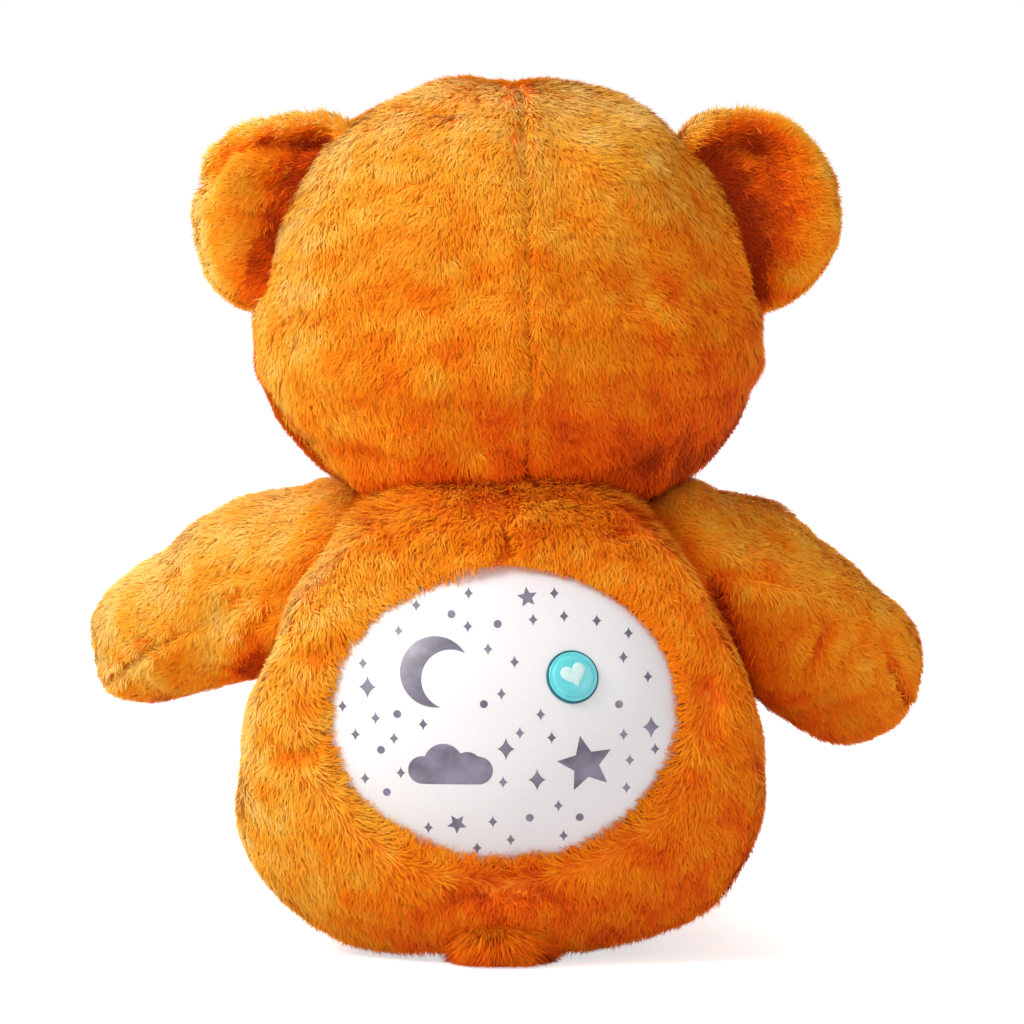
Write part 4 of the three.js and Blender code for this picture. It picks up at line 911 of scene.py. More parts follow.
def makeLimb(kind, side, seed):
    form, place = limbForm(kind, side)
    look, creases = limbLook[kind], armCreases[side] if kind == "arm" else ()
    grid = stuffed(shrunk(form, pile["depth"]), look["rows"], look["cols"])
    normals = gridNormals(grid)
    # plumper away from the root, and most on top
    swell = faded(look["plump"][side], *limbLook["plumpAlong"], grid[..., 2])
    swell = swell * (1 + limbLook["plumpTop"] * (normals @ place[2, :3]))
    swell = swell + look["lump"] * waves(grid, limbLook["lumpSize"], seed)
    grid = seated(creased(placed(pushed(grid, swell, normals), place), creases))
    # the nap runs along the arm and a little down, and down the outer side of the leg
    nap = np.array([look["napOut"] * signs[side], 0, -look["napDown"]]) + look["napAlong"] * place[:3, 2]

    def keep(points, normals):
        kept = ~insideForm(torso, torsoPlace, points, limbLook["inTorso"])
        if kind == "arm":
            return kept & ~insideForm(skull, skullPlace, points, limbLook["inHead"])
        local = localTo(points, place)
        beside = np.hypot(local[:, 0], local[:, 1]) > limbLook["underSole"]
        return kept & (beside | (local[:, 2] < form["up"] - limbLook["soleEdge"]))

    def tone(points, normals):
        # painted light on top and on the side towards the key lamp, painted shade where the limb meets the torso
        rise = look["tone"] + limbLook["paintedTopLight"] * normals[:, 2]
        return rise + paintedLitSide(points, normals) - paintedFoldShade(torso, torsoPlace, points)

    plushPiece(f"{kind}_{side}", grid, f"{side}_{kind}", "fur",
               {**look["pile"], "seed": look["pile"]["seed"] + seed}, lambda points, normals: nap, keep=keep,
               tone=tone, creases=creases)


for number, side in enumerate(signs):
    makeLimb("arm", side, number)
    makeLimb("leg", side, number + 2)
print("arms and legs made")


# Soles: flat pads of shorter pale pile on the ends of the legs

sole = {"radius": 17, "thick": 2.4, "power": 2.4, "sink": 2.2, "rows": 30, "cols": 60, "facing": -0.1,
        "pile": {"count": 12000, "length": 3.4, "clump": 2.4, "width": 0.4, "rootLean": 50, "tipLean": 72,
                 "sink": 0.6}}


def makeSole(side, seed):
    form, place = limbForm("leg", side)
    pad = evenForm(sole["radius"], sole["radius"], sole["thick"], sole["power"])
    grid = placed(stuffed(pad, sole["rows"], sole["cols"]), place @ moved(0, 0, form["up"] - sole["sink"]))
    plushPiece(f"sole_{side}", grid, f"{side}_leg", "pale_fur", {**sole["pile"], "seed": seed},
               lambda points, normals: np.array([0, 0, -1.0]),
               keep=lambda points, normals: normals @ place[:3, 2] > sole["facing"])


for number, side in enumerate(signs):
    makeSole(side, 71 + number)
print("soles made")


# Head

head = {"rows": 170, "cols": 280, "lump": 1.3, "lumpSize": 36, "seam": 1.6, "seamWidth": 1.3,
        "seamAcross": -2.3, "seamBack": (-8, 10), "stitch": 6.0, "neck": 2.6, "neckFrom": (-30, -46),
        # fuller crown, with a dent in it, and cheeks, fuller on the right, and slack above the neck
        "full": 2.2, "crownRise": (45, 68), "dent": (0.8, 40, 80), "dentAcross": -15, "dentWidth": 15,
        "cheekFrom": (-16, -4), "cheekTo": (20, 6), "cheekRight": (0.6, 0, -60),
        "slack": (1.6, -60, 30), "slackFrom": (-10, -22),
        # painted light at the crown, painted shade low down but for the far left and on the right, and darker in
        # seam and stitches
        "crownLight": 0.3, "lowShade": (0.22, 60, 0), "rightShade": (0.11, 10, -60), "rightRise": (75, 20),
        "seamTone": 0.192, "stitchTone": 0.128, "seamToneWidth": 0.9,
        "seamLength": 0.5, "seamLengthWidth": 1.2, "neckLength": 0.25, "neckLift": 14,
        # the comb: where the crown is, within how far of the seam it turns aside, and how much
        "combCrown": (0.35, 0.9), "combSpread": 6, "combAside": 0.2, "combAsideMore": 0.8,
        "combBehind": (-30, 0), "combBack": 0.35, "combBrow": (0.5, -0.35),
        "inTorso": 12, "roundEye": 0.8, "pile": {"count": 265000, "seed": 81}}
headCreases = [(1.8, 1.8, 0.5, 0.5, [(413, 112), (450, 109), (483, 104)]),
               (1.6, 1.4, 0.5, 0.5, [(473, 95), (492, 95)]),
               (2.0, 1.0, 0.5, 0.5, [(380, 185), (420, 178), (455, 182)]),
               (3.0, 1.2, 0.5, 0.5, [(330, 430), (380, 452), (430, 460)]),
               (3.0, 1.1, 0.5, 0.5, [(600, 470), (650, 455), (690, 430)])]


def headSeam(local, width):
    # the sewn line down the middle of the back of the head, from the crown to the neck
    return bell(local[..., 0], head["seamAcross"], width) * smoothStep(*head["seamBack"], local[..., 1])


def atNeck(local):
    return smoothStep(*head["neckFrom"], local[..., 2])


def headTone(points, normals):
    # painted light over the crown and where the pile faces the key lamp, painted shade towards the neck and on the
    # right, and dark at every other stitch of the seam
    local = localTo(points, skullPlace)
    across, height = local[:, 0], local[:, 2]
    rise = np.where(height > 0, head["crownLight"] * (height / skull["up"]) ** 2,
                    height / skull["down"] * faded(*head["lowShade"], across))
    rise = rise - faded(*head["rightShade"], across) * smoothStep(*head["rightRise"], height)
    stitches = head["seamTone"] + head["stitchTone"] * np.sin(2 * np.pi * height / head["stitch"])
    return rise + paintedLitFacing(normals) - stitches * headSeam(local, head["seamToneWidth"])


def headLength(points, normals):
    local = localTo(points, skullPlace)
    seam = head["seamLength"] * headSeam(local, head["seamLengthWidth"])
    return (1 - seam) * (1 + head["neckLength"] * atNeck(local))


def headLift(points, normals):
    return head["neckLift"] * atNeck(localTo(points, skullPlace))


def headGrid():
    grid = stuffed(shrunk(skull, pile["depth"]), head["rows"], head["cols"])
    swell = head["lump"] * waves(grid, head["lumpSize"], 83) + head["neck"] * atNeck(grid) + fullness(grid)
    swell = swell - head["seam"] * headSeam(grid, head["seamWidth"])
    return creased(placed(pushed(grid, swell, gridNormals(grid)), skullPlace), headCreases)


def fullness(local):
    # fuller over the crown and cheeks, slacker just above the neck
    across, height = local[..., 0], local[..., 2]
    dent = faded(*head["dent"], height) * bell(across, head["dentAcross"], head["dentWidth"])
    crown = smoothStep(*head["crownRise"], height) * (1 - dent)
    cheeks = smoothStep(*head["cheekFrom"], height) * smoothStep(*head["cheekTo"], height)
    cheeks = cheeks * (1 + faded(*head["cheekRight"], across))
    slack = smoothStep(*head["slackFrom"], height) * (1 - atNeck(local)) * faded(*head["slack"], across)
    return head["full"] * (crown + cheeks) - slack


def headComb(points, normals):
    # down and a little away from the seam behind, sideways over the crown, back from the brow on the face
    local = localTo(points, skullPlace)
    crown = smoothStep(*head["combCrown"], normals[:, 2])
    away = np.tanh((local[:, 0] - head["seamAcross"]) / head["combSpread"])
    away = away * (head["combAside"] + head["combAsideMore"] * crown)
    away = away * smoothStep(*head["combBehind"], local[:, 1])
    behind, (browBack, browDown) = local[:, 1] > 0, head["combBrow"]
    back = np.where(behind, head["combBack"] * crown, browBack)
    ways = np.stack([away, back, np.where(behind, -1.0, browDown)], 1)
    return ways @ skullPlace[:3, :3].T


def headKept(points, normals):
    kept = ~insideForm(torso, torsoPlace, points, head["inTorso"])
    kept &= ~insideForm(muzzleForm, muzzlePlace, points, muzzle["inHead"])
    for side in signs:
        kept &= np.linalg.norm(points - eyePlace(side)[:3, 3], axis=1) > eye["radius"] - head["roundEye"]
    return kept


# Muzzle

muzzle = {"halfWidth": 29, "depth": 19, "height": 20, "power": 2.2, "below": 16, "sink": 3, "rows": 60,
          "cols": 90, "swell": 1.6, "swellSize": 11, "combDown": 6, "inHead": 4, "inSkull": 8,
          "pile": {"count": 24000, "seed": 91, "length": 4.2, "clump": 2.4, "width": 0.38, "depth": 1.4}}
muzzleForm = evenForm(muzzle["halfWidth"], muzzle["depth"], muzzle["height"], muzzle["power"])


def surfaceFront(form, across, height):
    share = ringShare(form, np.array(float(height)))
    return form["depthFront"] * share * math.sqrt(1 - (across / (form["halfWidth"] * share)) ** 2)


muzzleFront = surfaceFront(skull, 0, -muzzle["below"]) - muzzle["sink"]
muzzlePlace = skullPlace @ moved(0, -muzzleFront, -muzzle["below"])


# Face: where the eyes, nose and mouth sit

eye = {"radius": 6.5, "height": 4.6, "seat": 1.0, "under": -2.2, "apart": 27, "above": 7, "rings": 18,
       "sides": 48}
nose = {"halfWidth": 9, "depth": 5, "up": 5.5, "down": 7, "upPower": 2.6, "downPower": 2, "above": 8,
        "sink": 1.5, "rows": 40, "cols": 60, "room": 1.2}
smile = {"from": 1.5, "to": -7.5, "half": 11.0, "sag": 3.2, "lift": 1.6, "thread": 0.75, "depth": 0.9,
         "room": 2.2, "steps": 24}


def facePoint(across, above):
    return placed(np.array([across, -surfaceFront(skull, across, above), above]), skullPlace)


def eyePlace(side):
    across = signs[side] * eye["apart"] - headShift[0]
    return onSurface(facePoint, across, eye["above"], eye["radius"], (0, 0, 1))


def muzzlePoint(across, above, proud):
    # a place on the muzzle's front
    front = surfaceFront(muzzleForm, across, above)
    return placed(np.array([across, -front - proud, above]), muzzlePlace)


noseForm = evenForm(nose["halfWidth"], nose["depth"], nose["up"], nose["upPower"], down=nose["down"],
                    downPower=nose["downPower"])
nosePlace = framedAlong(muzzlePoint(0, nose["above"], 0), skullPlace[:3, :3] @ (0, -1, 0), (0, 0, 1))
nosePlace = nosePlace @ frameOf((0, 0, nose["depth"] - nose["sink"]), (1, 0, 0), (0, 0, -1), (0, 1, 0))


def smilePaths():
    # a stitch down from the nose and a curve out to each side
    t = np.linspace(0, 1, smile["steps"])
    curve = smile["to"] - smile["sag"] * np.sin(np.pi * t) + smile["lift"] * t ** 2
    paths = [(0 * t, smile["from"] + (smile["to"] - smile["from"]) * t)]
    paths += [(sign * smile["half"] * t, curve) for sign in signs.values()]
    return [np.array([muzzlePoint(x, z, -smile["depth"]) for x, z in zip(*path)]) for path in paths]


def muzzleKept(points, normals):
    kept = ~insideForm(skull, skullPlace, points, muzzle["inSkull"])
    kept &= ~insideForm(noseForm, nosePlace, points, -nose["room"])
    for path in smilePaths():
        gaps = np.linalg.norm(points[:, None] - path[None, ::2], axis=2).min(1)
        kept &= gaps > smile["room"]
    return kept


plushPiece("head", headGrid(), "head", "fur", head["pile"], headComb, keep=headKept, share=headLength,
           tone=headTone, lift=headLift, creases=headCreases, parts=quarters(skullPlace))
print("head made")


def makeMuzzle():
    # swelling round the nose, with the pile combed out from the middle and down
    form = shrunk(muzzleForm, muzzle["pile"]["depth"])
    grid = placed(stuffed(form, muzzle["rows"], muzzle["cols"]), muzzlePlace)
    fromNose = np.linalg.norm(grid - nosePlace[:3, 3], axis=-1)
    grid = pushed(grid, muzzle["swell"] * bell(fromNose, 0, muzzle["swellSize"]), gridNormals(grid))
    plushPiece("muzzle", grid, "head", "pale_fur", muzzle["pile"],
               lambda points, normals: points - muzzlePlace[:3, 3] - (0, 0, muzzle["combDown"]),
               keep=muzzleKept)


makeMuzzle()
print("muzzle made")


# Ears: dished discs with a plump rim

ear = {"halfWidth": 34, "depth": 7.5, "reach": 35, "power": 2.1, "height": 43, "toeIn": 14, "lean": 8,
       "sink": {"left": 4, "right": -4}, "rootOut": 26, "cup": 7, "rim": 0.3, "rimAt": 0.78,
       "rimWidth": 0.16,
       # how deep the back is hollowed short of the rim, and where beside the head that starts and is whole
       "hollow": (10.5, 0, 0.35), "hollowFrom": {"left": 46, "right": 50},
       "hollowTo": {"left": 24, "right": 30},
       # how much painted shade darkens the hollow and the fold, and how much paler painted light makes each ear,
       # its rim and its top
       "shade": {"left": 0.18, "right": 0.36}, "foldShades": [(0.26, -2.5), (0.14, -6)], "inner": (-0.1, 0.3),
       "innerRise": (0.02, 0.3), "tone": {"left": 0.12, "right": 0.04}, "rimRise": (0.6, 0.95),
       "backTone": 0.1, "frontTone": (0.1, 0.1, -0.3), "paintedTopLight": (0.18, 0.3, 0.9),
       "rimLength": (0.4, 0.75, 0.95), "frontLength": (0.15, -0.3), "combBias": (0, 0.25, -0.4),
       "inSkull": 8, "rows": 130, "cols": 150, "pile": {"count": 42000}}
earOutline = {  # swells and notches of the rim: degrees up from straight out, spread, share of the radius
    "left": [(27, 8, -0.1), (85, 22, -0.05), (132, 20, 0.1), (-42, 25, 0.06)],
    "right": [(130, 22, 0.1), (-5, 22, 0.04), (52, 14, -0.03)],
}
earCreases = {
    "left": [(3.2, 2.8, 0.1, 0.1, [(212, 180), (236, 151), (278, 144), (318, 143), (345, 142)]),
             (2.0, 0.9, 0.3, 0.3, [(268, 190), (284, 180), (300, 172)]),
             (2.0, 0.8, 0.3, 0.3, [(256, 214), (270, 206), (284, 196)])],
    "right": [(2.6, 1.4, 0.1, 0.5, [(688, 154), (715, 150), (750, 154), (785, 172)]),
              (1.6, 1.3, 0.1, 0.4, [(730, 190), (738, 182), (752, 176)])],
}


def earPlace(side):
    half = skull["halfWidth"] * ringShare(skull, np.array(float(ear["height"])))
    place = skullPlace @ moved(signs[side] * (half - ear["sink"][side]), 0, ear["height"])
    return place @ turnedZ(-signs[side] * ear["toeIn"]) @ turnedY(signs[side] * ear["lean"])


def earHollow(local, side):
    # 1 at the ear's root beside the head, falling to 0 part of the way out to the rim
    out = np.hypot(local[..., 0] + signs[side] * ear["rootOut"], local[..., 2])
    return smoothStep(ear["hollowFrom"][side], ear["hollowTo"][side], out)


def earRadius(local):
    # 0 at the middle of the ear and 1 at its rim
    return np.hypot(local[..., 0] / ear["halfWidth"], local[..., 2] / ear["reach"])


def earTone(points, local, normals, side):
    # painted light along the rim, on top and towards the key lamp, painted shade, deep red, in the hollow behind
    # and in the fold beside the head
    inner = smoothStep(*ear["inner"], normals[:, 1]) * smoothStep(*ear["innerRise"], 1 - earRadius(local))
    deep = ear["shade"][side] * earHollow(local, side)
    deep = deep + paintedFoldShade(skull, skullPlace, points, ear["foldShades"])
    rim = ear["backTone"] + faded(*ear["frontTone"], normals[:, 1])
    pale = ear["tone"][side] + rim * smoothStep(*ear["rimRise"], earRadius(local))
    return pale + faded(*ear["paintedTopLight"], normals[:, 2]) + paintedLitFacing(normals) - inner * deep


def earLength(local, normals):
    # shorter on the front half of the rim, where it would stand out beyond the rim seen from behind
    return 1 - faded(*ear["rimLength"], earRadius(local)) * smoothStep(*ear["frontLength"], normals[:, 1])


def earGrid(side):
    halfWidth, reach = ear["halfWidth"] - pile["depth"], ear["reach"] - pile["depth"]
    form = evenForm(halfWidth, ear["depth"], reach, ear["power"])
    grid = stuffed(form, ear["rows"], ear["cols"])
    hollow = earHollow(grid, side) * (grid[..., 1] > 0)
    radius = np.hypot(grid[..., 0] / halfWidth, grid[..., 2] / reach)
    plump = 1 + ear["rim"] * bell(radius, ear["rimAt"], ear["rimWidth"])
    grid[..., 1] = grid[..., 1] * plump + ear["cup"] * np.clip(1 - radius ** 2, 0, 1)
    grid[..., 1] -= hollow * faded(*ear["hollow"], 1 - radius)
    angle = np.degrees(np.arctan2(grid[..., 2], signs[side] * grid[..., 0]))
    outline = 1 + sum(share * bell(angle, middle, spread) for middle, spread, share in earOutline[side])
    grid[..., [0, 2]] *= outline[..., None]
    return grid


def makeEar(side, seed):
    place = earPlace(side)
    grid = creased(placed(earGrid(side), place), earCreases[side])
    root = placed(np.array([-signs[side] * ear["rootOut"], 0, 0]), place)
    plushPiece(f"ear_{side}", grid, "head", "fur", {**ear["pile"], "seed": seed},
               lambda points, normals: unit(points - root) + ear["combBias"],
               keep=lambda points, normals: ~insideForm(skull, skullPlace, points, ear["inSkull"]),
               share=lambda points, normals: earLength(localTo(points, place), normals),
               tone=lambda points, normals: earTone(points, localTo(points, place), normals, side),
               creases=earCreases[side])


for number, side in enumerate(signs):
    makeEar(side, 101 + number)
print("ears made")


# Lathed hard pieces

def lathed(profile, place, cols=96, oval=1.0):
    # a profile of radii and heights carried round the axis, closed where it meets the axis
    profile = np.array(profile, float)
    around = np.linspace(0, 2 * np.pi, cols, endpoint=False)
    x = profile[:, :1] * np.cos(around)
    y = oval * profile[:, :1] * np.sin(around)
    return placed(np.stack([x, y, np.broadcast_to(profile[:, 1:], x.shape)], -1), place)


def softened(profile, radius, steps=4):
    # each inner corner of a profile becomes a short curve between points either side of it
    points = [profile[0]]
    for before, corner, after in zip(profile, profile[1:], profile[2:]):
        before, corner, after = (np.array(p, float) for p in (before, corner, after))
        start = corner + unit(before - corner) * min(radius, np.linalg.norm(before - corner) / 2)
        end = corner + unit(after - corner) * min(radius, np.linalg.norm(after - corner) / 2)
        for t in np.linspace(0, 1, steps):
            points.append((1 - t) ** 2 * start + 2 * t * (1 - t) * corner + t ** 2 * end)
    points.append(profile[-1])
    return points


# Eyes, nose and mouth

blackGloss = grainMaterial("blackGloss", (12, 9, 8), (20, 16, 14), 3.0, 0.12, 0.01, Specular_IOR_Level=0.22)
noseGloss = grainMaterial("noseGloss", (24, 16, 13), (36, 26, 21), 1.2, 0.36, 0.05, Specular_IOR_Level=0.3)
brownThread = grainMaterial("brownThread", (58, 30, 16), (84, 46, 24), 0.6, 0.8, 0.2)


def makeFace():
    t = np.linspace(0, np.pi / 2, eye["rings"])
    crown = np.stack([eye["radius"] * np.cos(t), eye["height"] * np.sin(t) - eye["seat"]], 1)
    low = eye["under"]
    profile = [(0, low), (eye["radius"] - 0.6, low), (eye["radius"] - 0.1, low + 0.4), *crown]
    for side in signs:
        gridsPiece(f"eye_{side}_bead", [lathed(profile, eyePlace(side), eye["sides"])], blackGloss, "head",
                   [f"eye_{side}"])
    grid = placed(stuffed(noseForm, nose["rows"], nose["cols"]), nosePlace)
    gridsPiece("nose_bead", [grid], noseGloss, "head", ["nose"])
    stitches = [tube(path, smile["thread"]) for path in smilePaths()]
    gridsPiece("mouth_stitch", stitches, brownThread, "head")


makeFace()
print("face made")


# Dome, its windows and the button

whitePlastic = grainMaterial("whitePlastic", (231, 231, 237), (235, 235, 240), 0.5, 0.28, 0.01)
windowPlastic = grainMaterial("windowPlastic", (92, 88, 108), (134, 130, 152), 9.0, 0.35, 0.01)
tealPlastic = grainMaterial("tealPlastic", (84, 204, 216), (96, 212, 222), 2.0, 0.22, 0.01, Coat_Weight=0.4)
# the collar is a real ring, and its dark teal paints the shade of the gap round the button
dishShadePlastic = grainMaterial("dishShadePlastic", (14, 92, 108), (24, 108, 122), 2.0, 0.4, 0.01)
heartPlastic = grainMaterial("heartPlastic", (196, 230, 232), (208, 238, 238), 1.5, 0.3, 0.01)

button = {"right": 22.7, "above": 13.4, "radius": 8.5, "cap": 8.15, "low": -2.4, "rimTop": 0.9,
          "rimWidth": 1.3, "top": 1.6, "bevel": 0.9, "bevelRise": 0.25, "crown": 0.8, "soft": 0.35,
          "rings": 16, "sides": 96,
          "dish": 8.8, "dishLow": -1.4, "dishTop": 0.3, "dishGap": 0.15, "dishSoft": 0.1}
heart = {"half": 4.3, "turn": 18, "proud": 0.4, "low": -0.4, "roundPower": 6, "steps": 96, "rings": 10}
heartWaves = [0.8125, -0.3125, -0.125, -0.0625]  # shares of the half width, for one to four turns

windows = {
    "star": {"outer": 9.5, "inner": 0.46, "right": 27, "above": -15, "turn": 12},
    "moon": {"radius": 11.5, "bite": 9.6, "shift": 5.6, "right": -22, "above": 15, "turn": -25, "steps": 40,
             "strips": 6},
    "cloud": {"puff": 4.6, "room": 11.5, "right": -17, "above": -17, "middle": -0.4, "steps": 96},
    "small": {"count": 34, "reach": 0.86, "star": 3.4, "sparkle": 3.8, "dot": 1.3, "room": 6.4},
    "tiny": {"count": 90, "reach": 0.93, "sparkle": 2.1, "room": 4.4, "offset": 40},
    "proud": 0.06, "deep": 0.3, "rings": 12, "dotSides": 20, "sparkleSides": 32, "sparkleWidth": 0.78,
    "buttonRoom": 11.2,
}
# places right and above, and radius, as shares of a puff
cloudPuffs = [(-2, 0, 1), (2, 0, 1), (-0.5, 0.5, 1.4), (1.2, 0.33, 1)]
goldenTurn = 137.508


def onDome(flat, top, proud, deep):
    # places right of and above the dome's middle, laid on its outside or a little below it
    radius = np.hypot(flat[..., 0], flat[..., 1] / dome["ovalShare"])
    height = domeHeight(radius, dome["halfWidth"], dome["rise"]) + np.where(top, proud, -deep)
    return placed(atHeight(flat, height), unitPlace)


def domePoint(right, above):
    return onDome(np.array([right, above], float), True, 0, 0)


buttonPlace = onSurface(domePoint, button["right"], button["above"], button["radius"] / 2, unitPlace[:3, 1])


def fanShares(rings):
    # from the middle of the underside out to the outline and back over the top to the middle
    return np.concatenate([[0, 1], np.linspace(1, 0, rings)])


def fan(outline, rings):
    share = fanShares(rings)[:, None, None]
    top = np.concatenate([[False, False], np.ones(rings, bool)])[:, None]
    return share * outline, np.broadcast_to(top, (rings + 2, len(outline)))


def crescent(look):
    # strips from horn to horn: over the top from the bite's circle to the outer one, and back below
    radius, bite, shift = look["radius"], look["bite"], look["shift"]
    cross = (radius ** 2 - bite ** 2 + shift ** 2) / (2 * shift)
    outer, inner = math.acos(cross / radius), math.acos((cross - shift) / bite)
    t = np.linspace(0, 1, look["steps"])[:, None]
    far, near = outer + t * 2 * (np.pi - outer), inner + t * 2 * (np.pi - inner)
    farEdge = radius * np.concatenate([np.cos(far), np.sin(far)], 1)
    nearEdge = bite * np.concatenate([np.cos(near), np.sin(near)], 1) + (shift, 0)
    across = np.linspace(0, 1, look["strips"])
    across = np.concatenate([across, across[::-1]])[None, :, None]
    top = np.arange(2 * look["strips"]) < look["strips"]
    return (nearEdge[:, None] * (1 - across) + farEdge[:, None] * across,
            np.broadcast_to(top[None], (look["steps"], 2 * look["strips"])))


def compass(count):
    # directions evenly round a circle
    angle = np.linspace(0, 2 * np.pi, count, endpoint=False)
    return np.stack([np.cos(angle), np.sin(angle)], 1)


def pointed(count, outer, inner):
    # a star's corners, with places on each edge between them
    angle = np.pi / 2 + np.pi * np.arange(2 * count) / count
    reach = outer * np.where(np.arange(2 * count) % 2, inner, 1)
    corners = reach[:, None] * np.stack([np.cos(angle), np.sin(angle)], 1)
    share = np.linspace(0, 1, 4, endpoint=False)[None, :, None]
    return (corners[:, None] * (1 - share) + np.roll(corners, -1, axis=0)[:, None] * share).reshape(-1, 2)


def sparkle(reach):
    # four points with hollow sides: the cubes of cosine and sine, taller than wide
    return reach * compass(windows["sparkleSides"]) ** 3 * (windows["sparkleWidth"], 1)


def cloudOutline(look):
    # from the cloud's middle out to the furthest edge of its puffs and of the flat bar below them
    ways, middle = compass(look["steps"]), np.array([0, look["middle"]])
    across, upward = np.maximum(np.abs(ways), 1e-6).T
    bar = np.where(ways[:, 1] > 0, -middle[1], 1 + middle[1])
    reach = np.minimum(2 / across, bar / upward)
    for right, above, radius in cloudPuffs:
        to = np.array([right, above]) - middle
        along = ways @ to
        inside = radius ** 2 - to @ to + along ** 2
        reach = np.maximum(reach, np.where(inside > 0, along + np.sqrt(np.maximum(inside, 0)), 0))
    return look["puff"] * (ways * reach[:, None] + middle)


def spiralPlaces(look, taken):
    # golden-angle places over the dome that keep clear of those taken
    places = []
    for number in range(1, look["count"] + 1):
        reach = look["reach"] * (dome["halfWidth"] - dome["wall"]) * math.sqrt(number / look["count"])
        angle = math.radians(goldenTurn * number + look.get("offset", 0))
        place = (reach * math.cos(angle), dome["ovalShare"] * reach * math.sin(angle))
        if all(math.dist(place, other[:2]) > other[2] + look["room"] for other in taken):
            places.append((number, *place))
    return places


def makeWindows():
    star, moon, cloud, small, tiny = (windows[kind] for kind in ("star", "moon", "cloud", "small", "tiny"))
    rings = windows["rings"]
    shapes = [(star, *fan(pointed(5, star["outer"], star["inner"]), rings)), (moon, *crescent(moon)),
              (cloud, *fan(cloudOutline(cloud), rings))]
    taken = [(star["right"], star["above"], star["outer"]), (moon["right"], moon["above"], moon["radius"]),
             (cloud["right"], cloud["above"], cloud["room"]),
             (button["right"], button["above"], windows["buttonRoom"])]
    dot = small["dot"] * compass(windows["dotSides"])
    kinds = [pointed(5, small["star"], star["inner"]), dot, sparkle(small["sparkle"]), dot]
    clear = list(taken)
    for number, right, above in spiralPlaces(small, taken):
        turn = goldenTurn * number if number % 4 == 0 else 0
        shapes.append(({"right": right, "above": above, "turn": turn}, *fan(kinds[number % 4], 3)))
        clear.append((right, above, 1.0))
    for number, right, above in spiralPlaces(tiny, clear):
        shapes.append(({"right": right, "above": above, "turn": 0}, *fan(sparkle(tiny["sparkle"]), 3)))
    grids = []
    for look, flat, top in shapes:
        turn = turnedZ(look.get("turn", 0))[:2, :2]
        flat = flat @ turn.T + (look["right"], look["above"])
        grids.append(onDome(flat, top, windows["proud"], windows["deep"]))
    gridsPiece("dome_windows", grids, windowPlastic, "trunk", crisp=40)
    print("windows made,", len(grids))


def holed(piece, place, radius, low, high):
    # a round hole through a piece, cut once and for good
    cutter = gridsPiece("cutter", [lathed([(0, low), (radius, low), (radius, high), (0, high)], place, 96)],
                        whitePlastic, "trunk")
    cut = piece.modifiers.new("hole", "BOOLEAN")
    cut.operation, cut.solver, cut.object = "DIFFERENCE", "EXACT", cutter
    bpy.context.view_layer.update()
    mesh = bpy.data.meshes.new_from_object(piece.evaluated_get(bpy.context.evaluated_depsgraph_get()))
    piece.modifiers.clear()
    piece.data = mesh
    bpy.data.objects.remove(cutter)
    mesh.set_sharp_from_angle(angle=math.radians(35))


def makeDome():
    half, rise, wall = dome["halfWidth"], dome["rise"], dome["wall"]
    out = np.linspace(0, 1, dome["rows"])
    outer = [(half * t, domeHeight(half * t, half, rise)) for t in out]
    inner = [((half - wall) * t, domeHeight((half - wall) * t, half - wall, rise - wall)) for t in out[::-1]]
    edge = [(half + dome["edgeOut"], -dome["edge"]), (half - wall, -dome["edge"])]
    grid = lathed((outer + edge + inner)[::-1], unitPlace, dome["cols"], dome["ovalShare"])
    shell = gridsPiece("dome_shell", [grid], whitePlastic, "trunk", ["star_dome"])
    holed(shell, buttonPlace, button["dish"] - dome["holeLap"], *dome["holeReach"])


def heartOutline():
    # half the width times the cube of the sine, and a sum of cosines for the height
    turn = np.linspace(0, 2 * np.pi, heart["steps"], endpoint=False)
    rise = 0.125 + sum(share * np.cos((wave + 1) * turn) for wave, share in enumerate(heartWaves))
    outline = heart["half"] * np.stack([-np.sin(turn) ** 3, rise], 1)
    return outline @ turnedZ(heart["turn"])[:2, :2].T


def capHeight(share):
    # the button's low crown, by the share of the way from its middle to its bevel
    top = button["top"] + button["bevelRise"]
    return top + (button["crown"] - button["bevelRise"]) * (1 - share ** 2)


def makeButton():
    radius, low, rim, top = button["cap"], button["low"], button["rimTop"], button["top"]
    step, bevel = radius - button["rimWidth"], button["bevel"]
    corners = [(0, low), (radius, low), (radius, rim), (step, rim), (step, top),
               (step - bevel, capHeight(1))]
    shares = np.linspace(1, 0, button["rings"])[1:]
    crown = [((step - bevel) * share, capHeight(share)) for share in shares]
    grid = lathed(softened(corners, button["soft"]) + crown, buttonPlace, button["sides"])
    gridsPiece("button_disc", [grid], tealPlastic, "button", ["button_cap"])
    flat, upper = fan(heartOutline(), heart["rings"])
    proud = heart["proud"] * (1 - fanShares(heart["rings"])[:, None] ** heart["roundPower"])
    crowned = capHeight(np.hypot(flat[..., 0], flat[..., 1]) / step) + proud
    grid = placed(atHeight(flat, np.where(upper, crowned, top + heart["low"])), buttonPlace)
    gridsPiece("button_heart_inlay", [grid], heartPlastic, "button", ["button_heart"],
               crisp=50)
    inside, dish, low, top = radius + button["dishGap"], button["dish"], button["dishLow"], button["dishTop"]
    wall = [(inside, low), (dish, low), (dish, top - 0.2), (dish - 0.2, top), (inside, top - 0.1)]
    ringPiece("button_collar", softened(wall, button["dishSoft"]), buttonPlace, dishShadePlastic, "trunk")


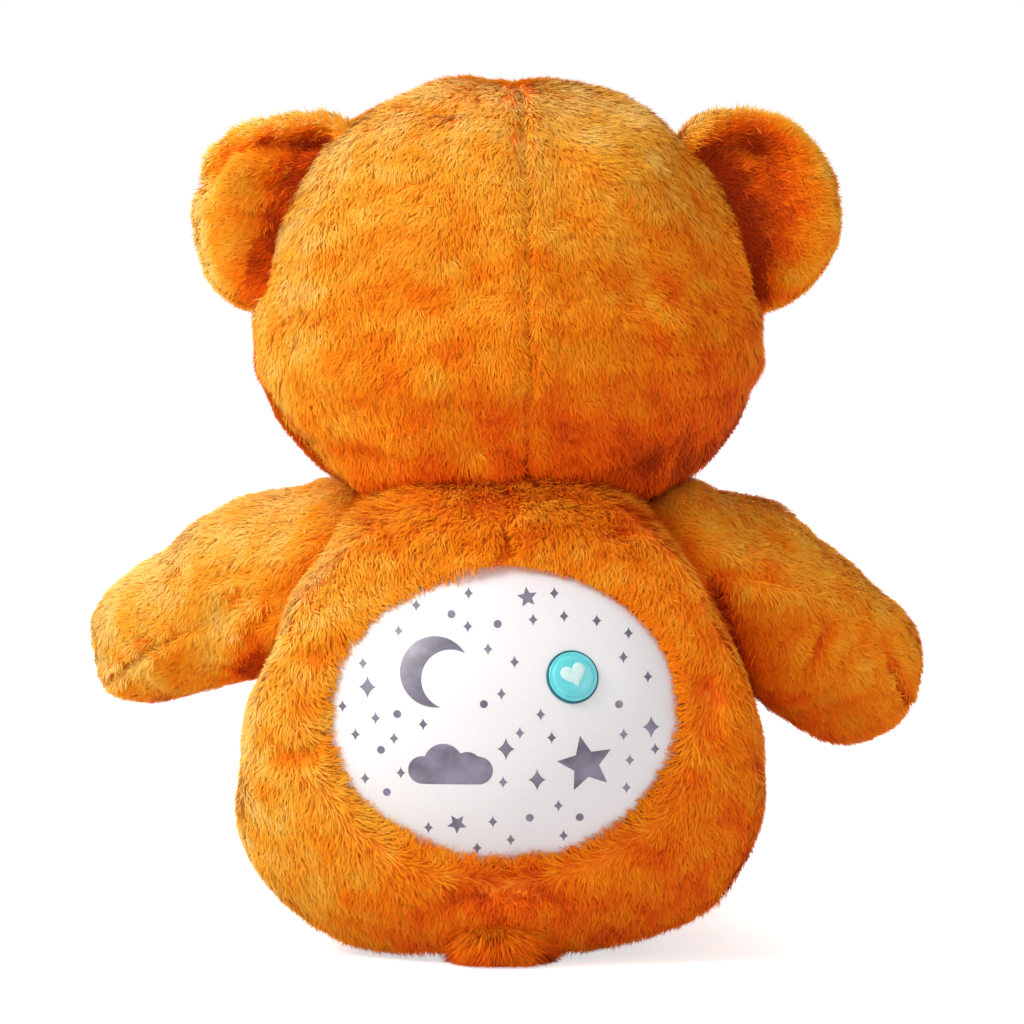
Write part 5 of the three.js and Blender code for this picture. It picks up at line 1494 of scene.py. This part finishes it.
def ringPiece(name, profile, place, material, body):
    # a closed profile clear of the axis, carried round it
    grid = lathed(profile, place, button["sides"])
    rows, cols = grid.shape[:2]
    row, col = np.arange(rows)[:, None], np.arange(cols)[None, :]
    after, beside = (row + 1) % rows, (col + 1) % cols
    faces = np.stack([row * cols + col, row * cols + beside, after * cols + beside, after * cols + col], -1)
    mesh = smoothMesh(name, grid.reshape(-1, 3), faces.reshape(-1, 4).tolist(), 50)
    newObject(name, mesh, material, body)


makeDome()
makeWindows()
makeButton()
print("dome and button made")


# Inner pieces carried over from the frame: plastic, board, lamps, wires and steel

innerFinishes = {
    "black_plastic": ((20, 20, 22), (34, 34, 36), 1.2, 0.45, 0.03, {}),
    "washer_plastic": ((226, 226, 222), (238, 238, 234), 1.5, 0.4, 0.03, {}),
    "lens_plastic": ((66, 64, 84), (84, 82, 104), 4.0, 0.25, 0.02, {}),
    "case_plastic": ((232, 232, 230), (240, 240, 238), 0.8, 0.5, 0.05, {}),
    "board": ((14, 92, 52), (34, 124, 70), 3.5, 0.4, 0.04, {"Coat_Weight": 0.3}),
    "red_lamp": ((206, 34, 26), (232, 62, 48), 2.0, 0.15, 0.01, {}),
    "green_lamp": ((34, 176, 70), (62, 206, 96), 2.0, 0.15, 0.01, {}),
    "blue_lamp": ((30, 84, 206), (56, 112, 236), 2.0, 0.15, 0.01, {}),
    "red_wire": ((190, 24, 20), (212, 44, 34), 1.5, 0.5, 0.02, {}),
    "black_wire": ((22, 22, 24), (38, 38, 40), 1.5, 0.5, 0.02, {}),
    "steel": ((186, 188, 192), (214, 216, 220), 0.7, 0.3, 0.02, {"Metallic": 1.0}),
    "cell_sleeve": ((52, 56, 62), (74, 78, 86), 6.0, 0.35, 0.02, {}),
}


def finishInnerPieces():
    made = {}
    for part in frame["record"]["subparts"]:
        piece, slot = frame["nodes"][part["node"]], part["material_slot"]
        if piece.hide_render or slot not in innerFinishes:
            continue
        if slot not in made:
            low, high, grain, roughness, bump, extra = innerFinishes[slot]
            made[slot] = grainMaterial(f"inner_{slot}", low, high, grain, roughness, bump, **extra)
        for place in piece.material_slots:
            place.material = made[slot]
    return made


print("inner finishes:", ", ".join(sorted(finishInnerPieces())))
shown = [piece for piece in bpy.data.objects if piece.type == "MESH" and not piece.hide_render]
left = [piece.name for piece in shown if not any(slot.material for slot in piece.material_slots)]
# a face of so many corners makes two triangles fewer
triangles = sum(len(piece.data.loops) - 2 * len(piece.data.polygons) for piece in shown)
print("triangles in all:", triangles, "pieces without a finish:", left)

bpy.context.view_layer.update()
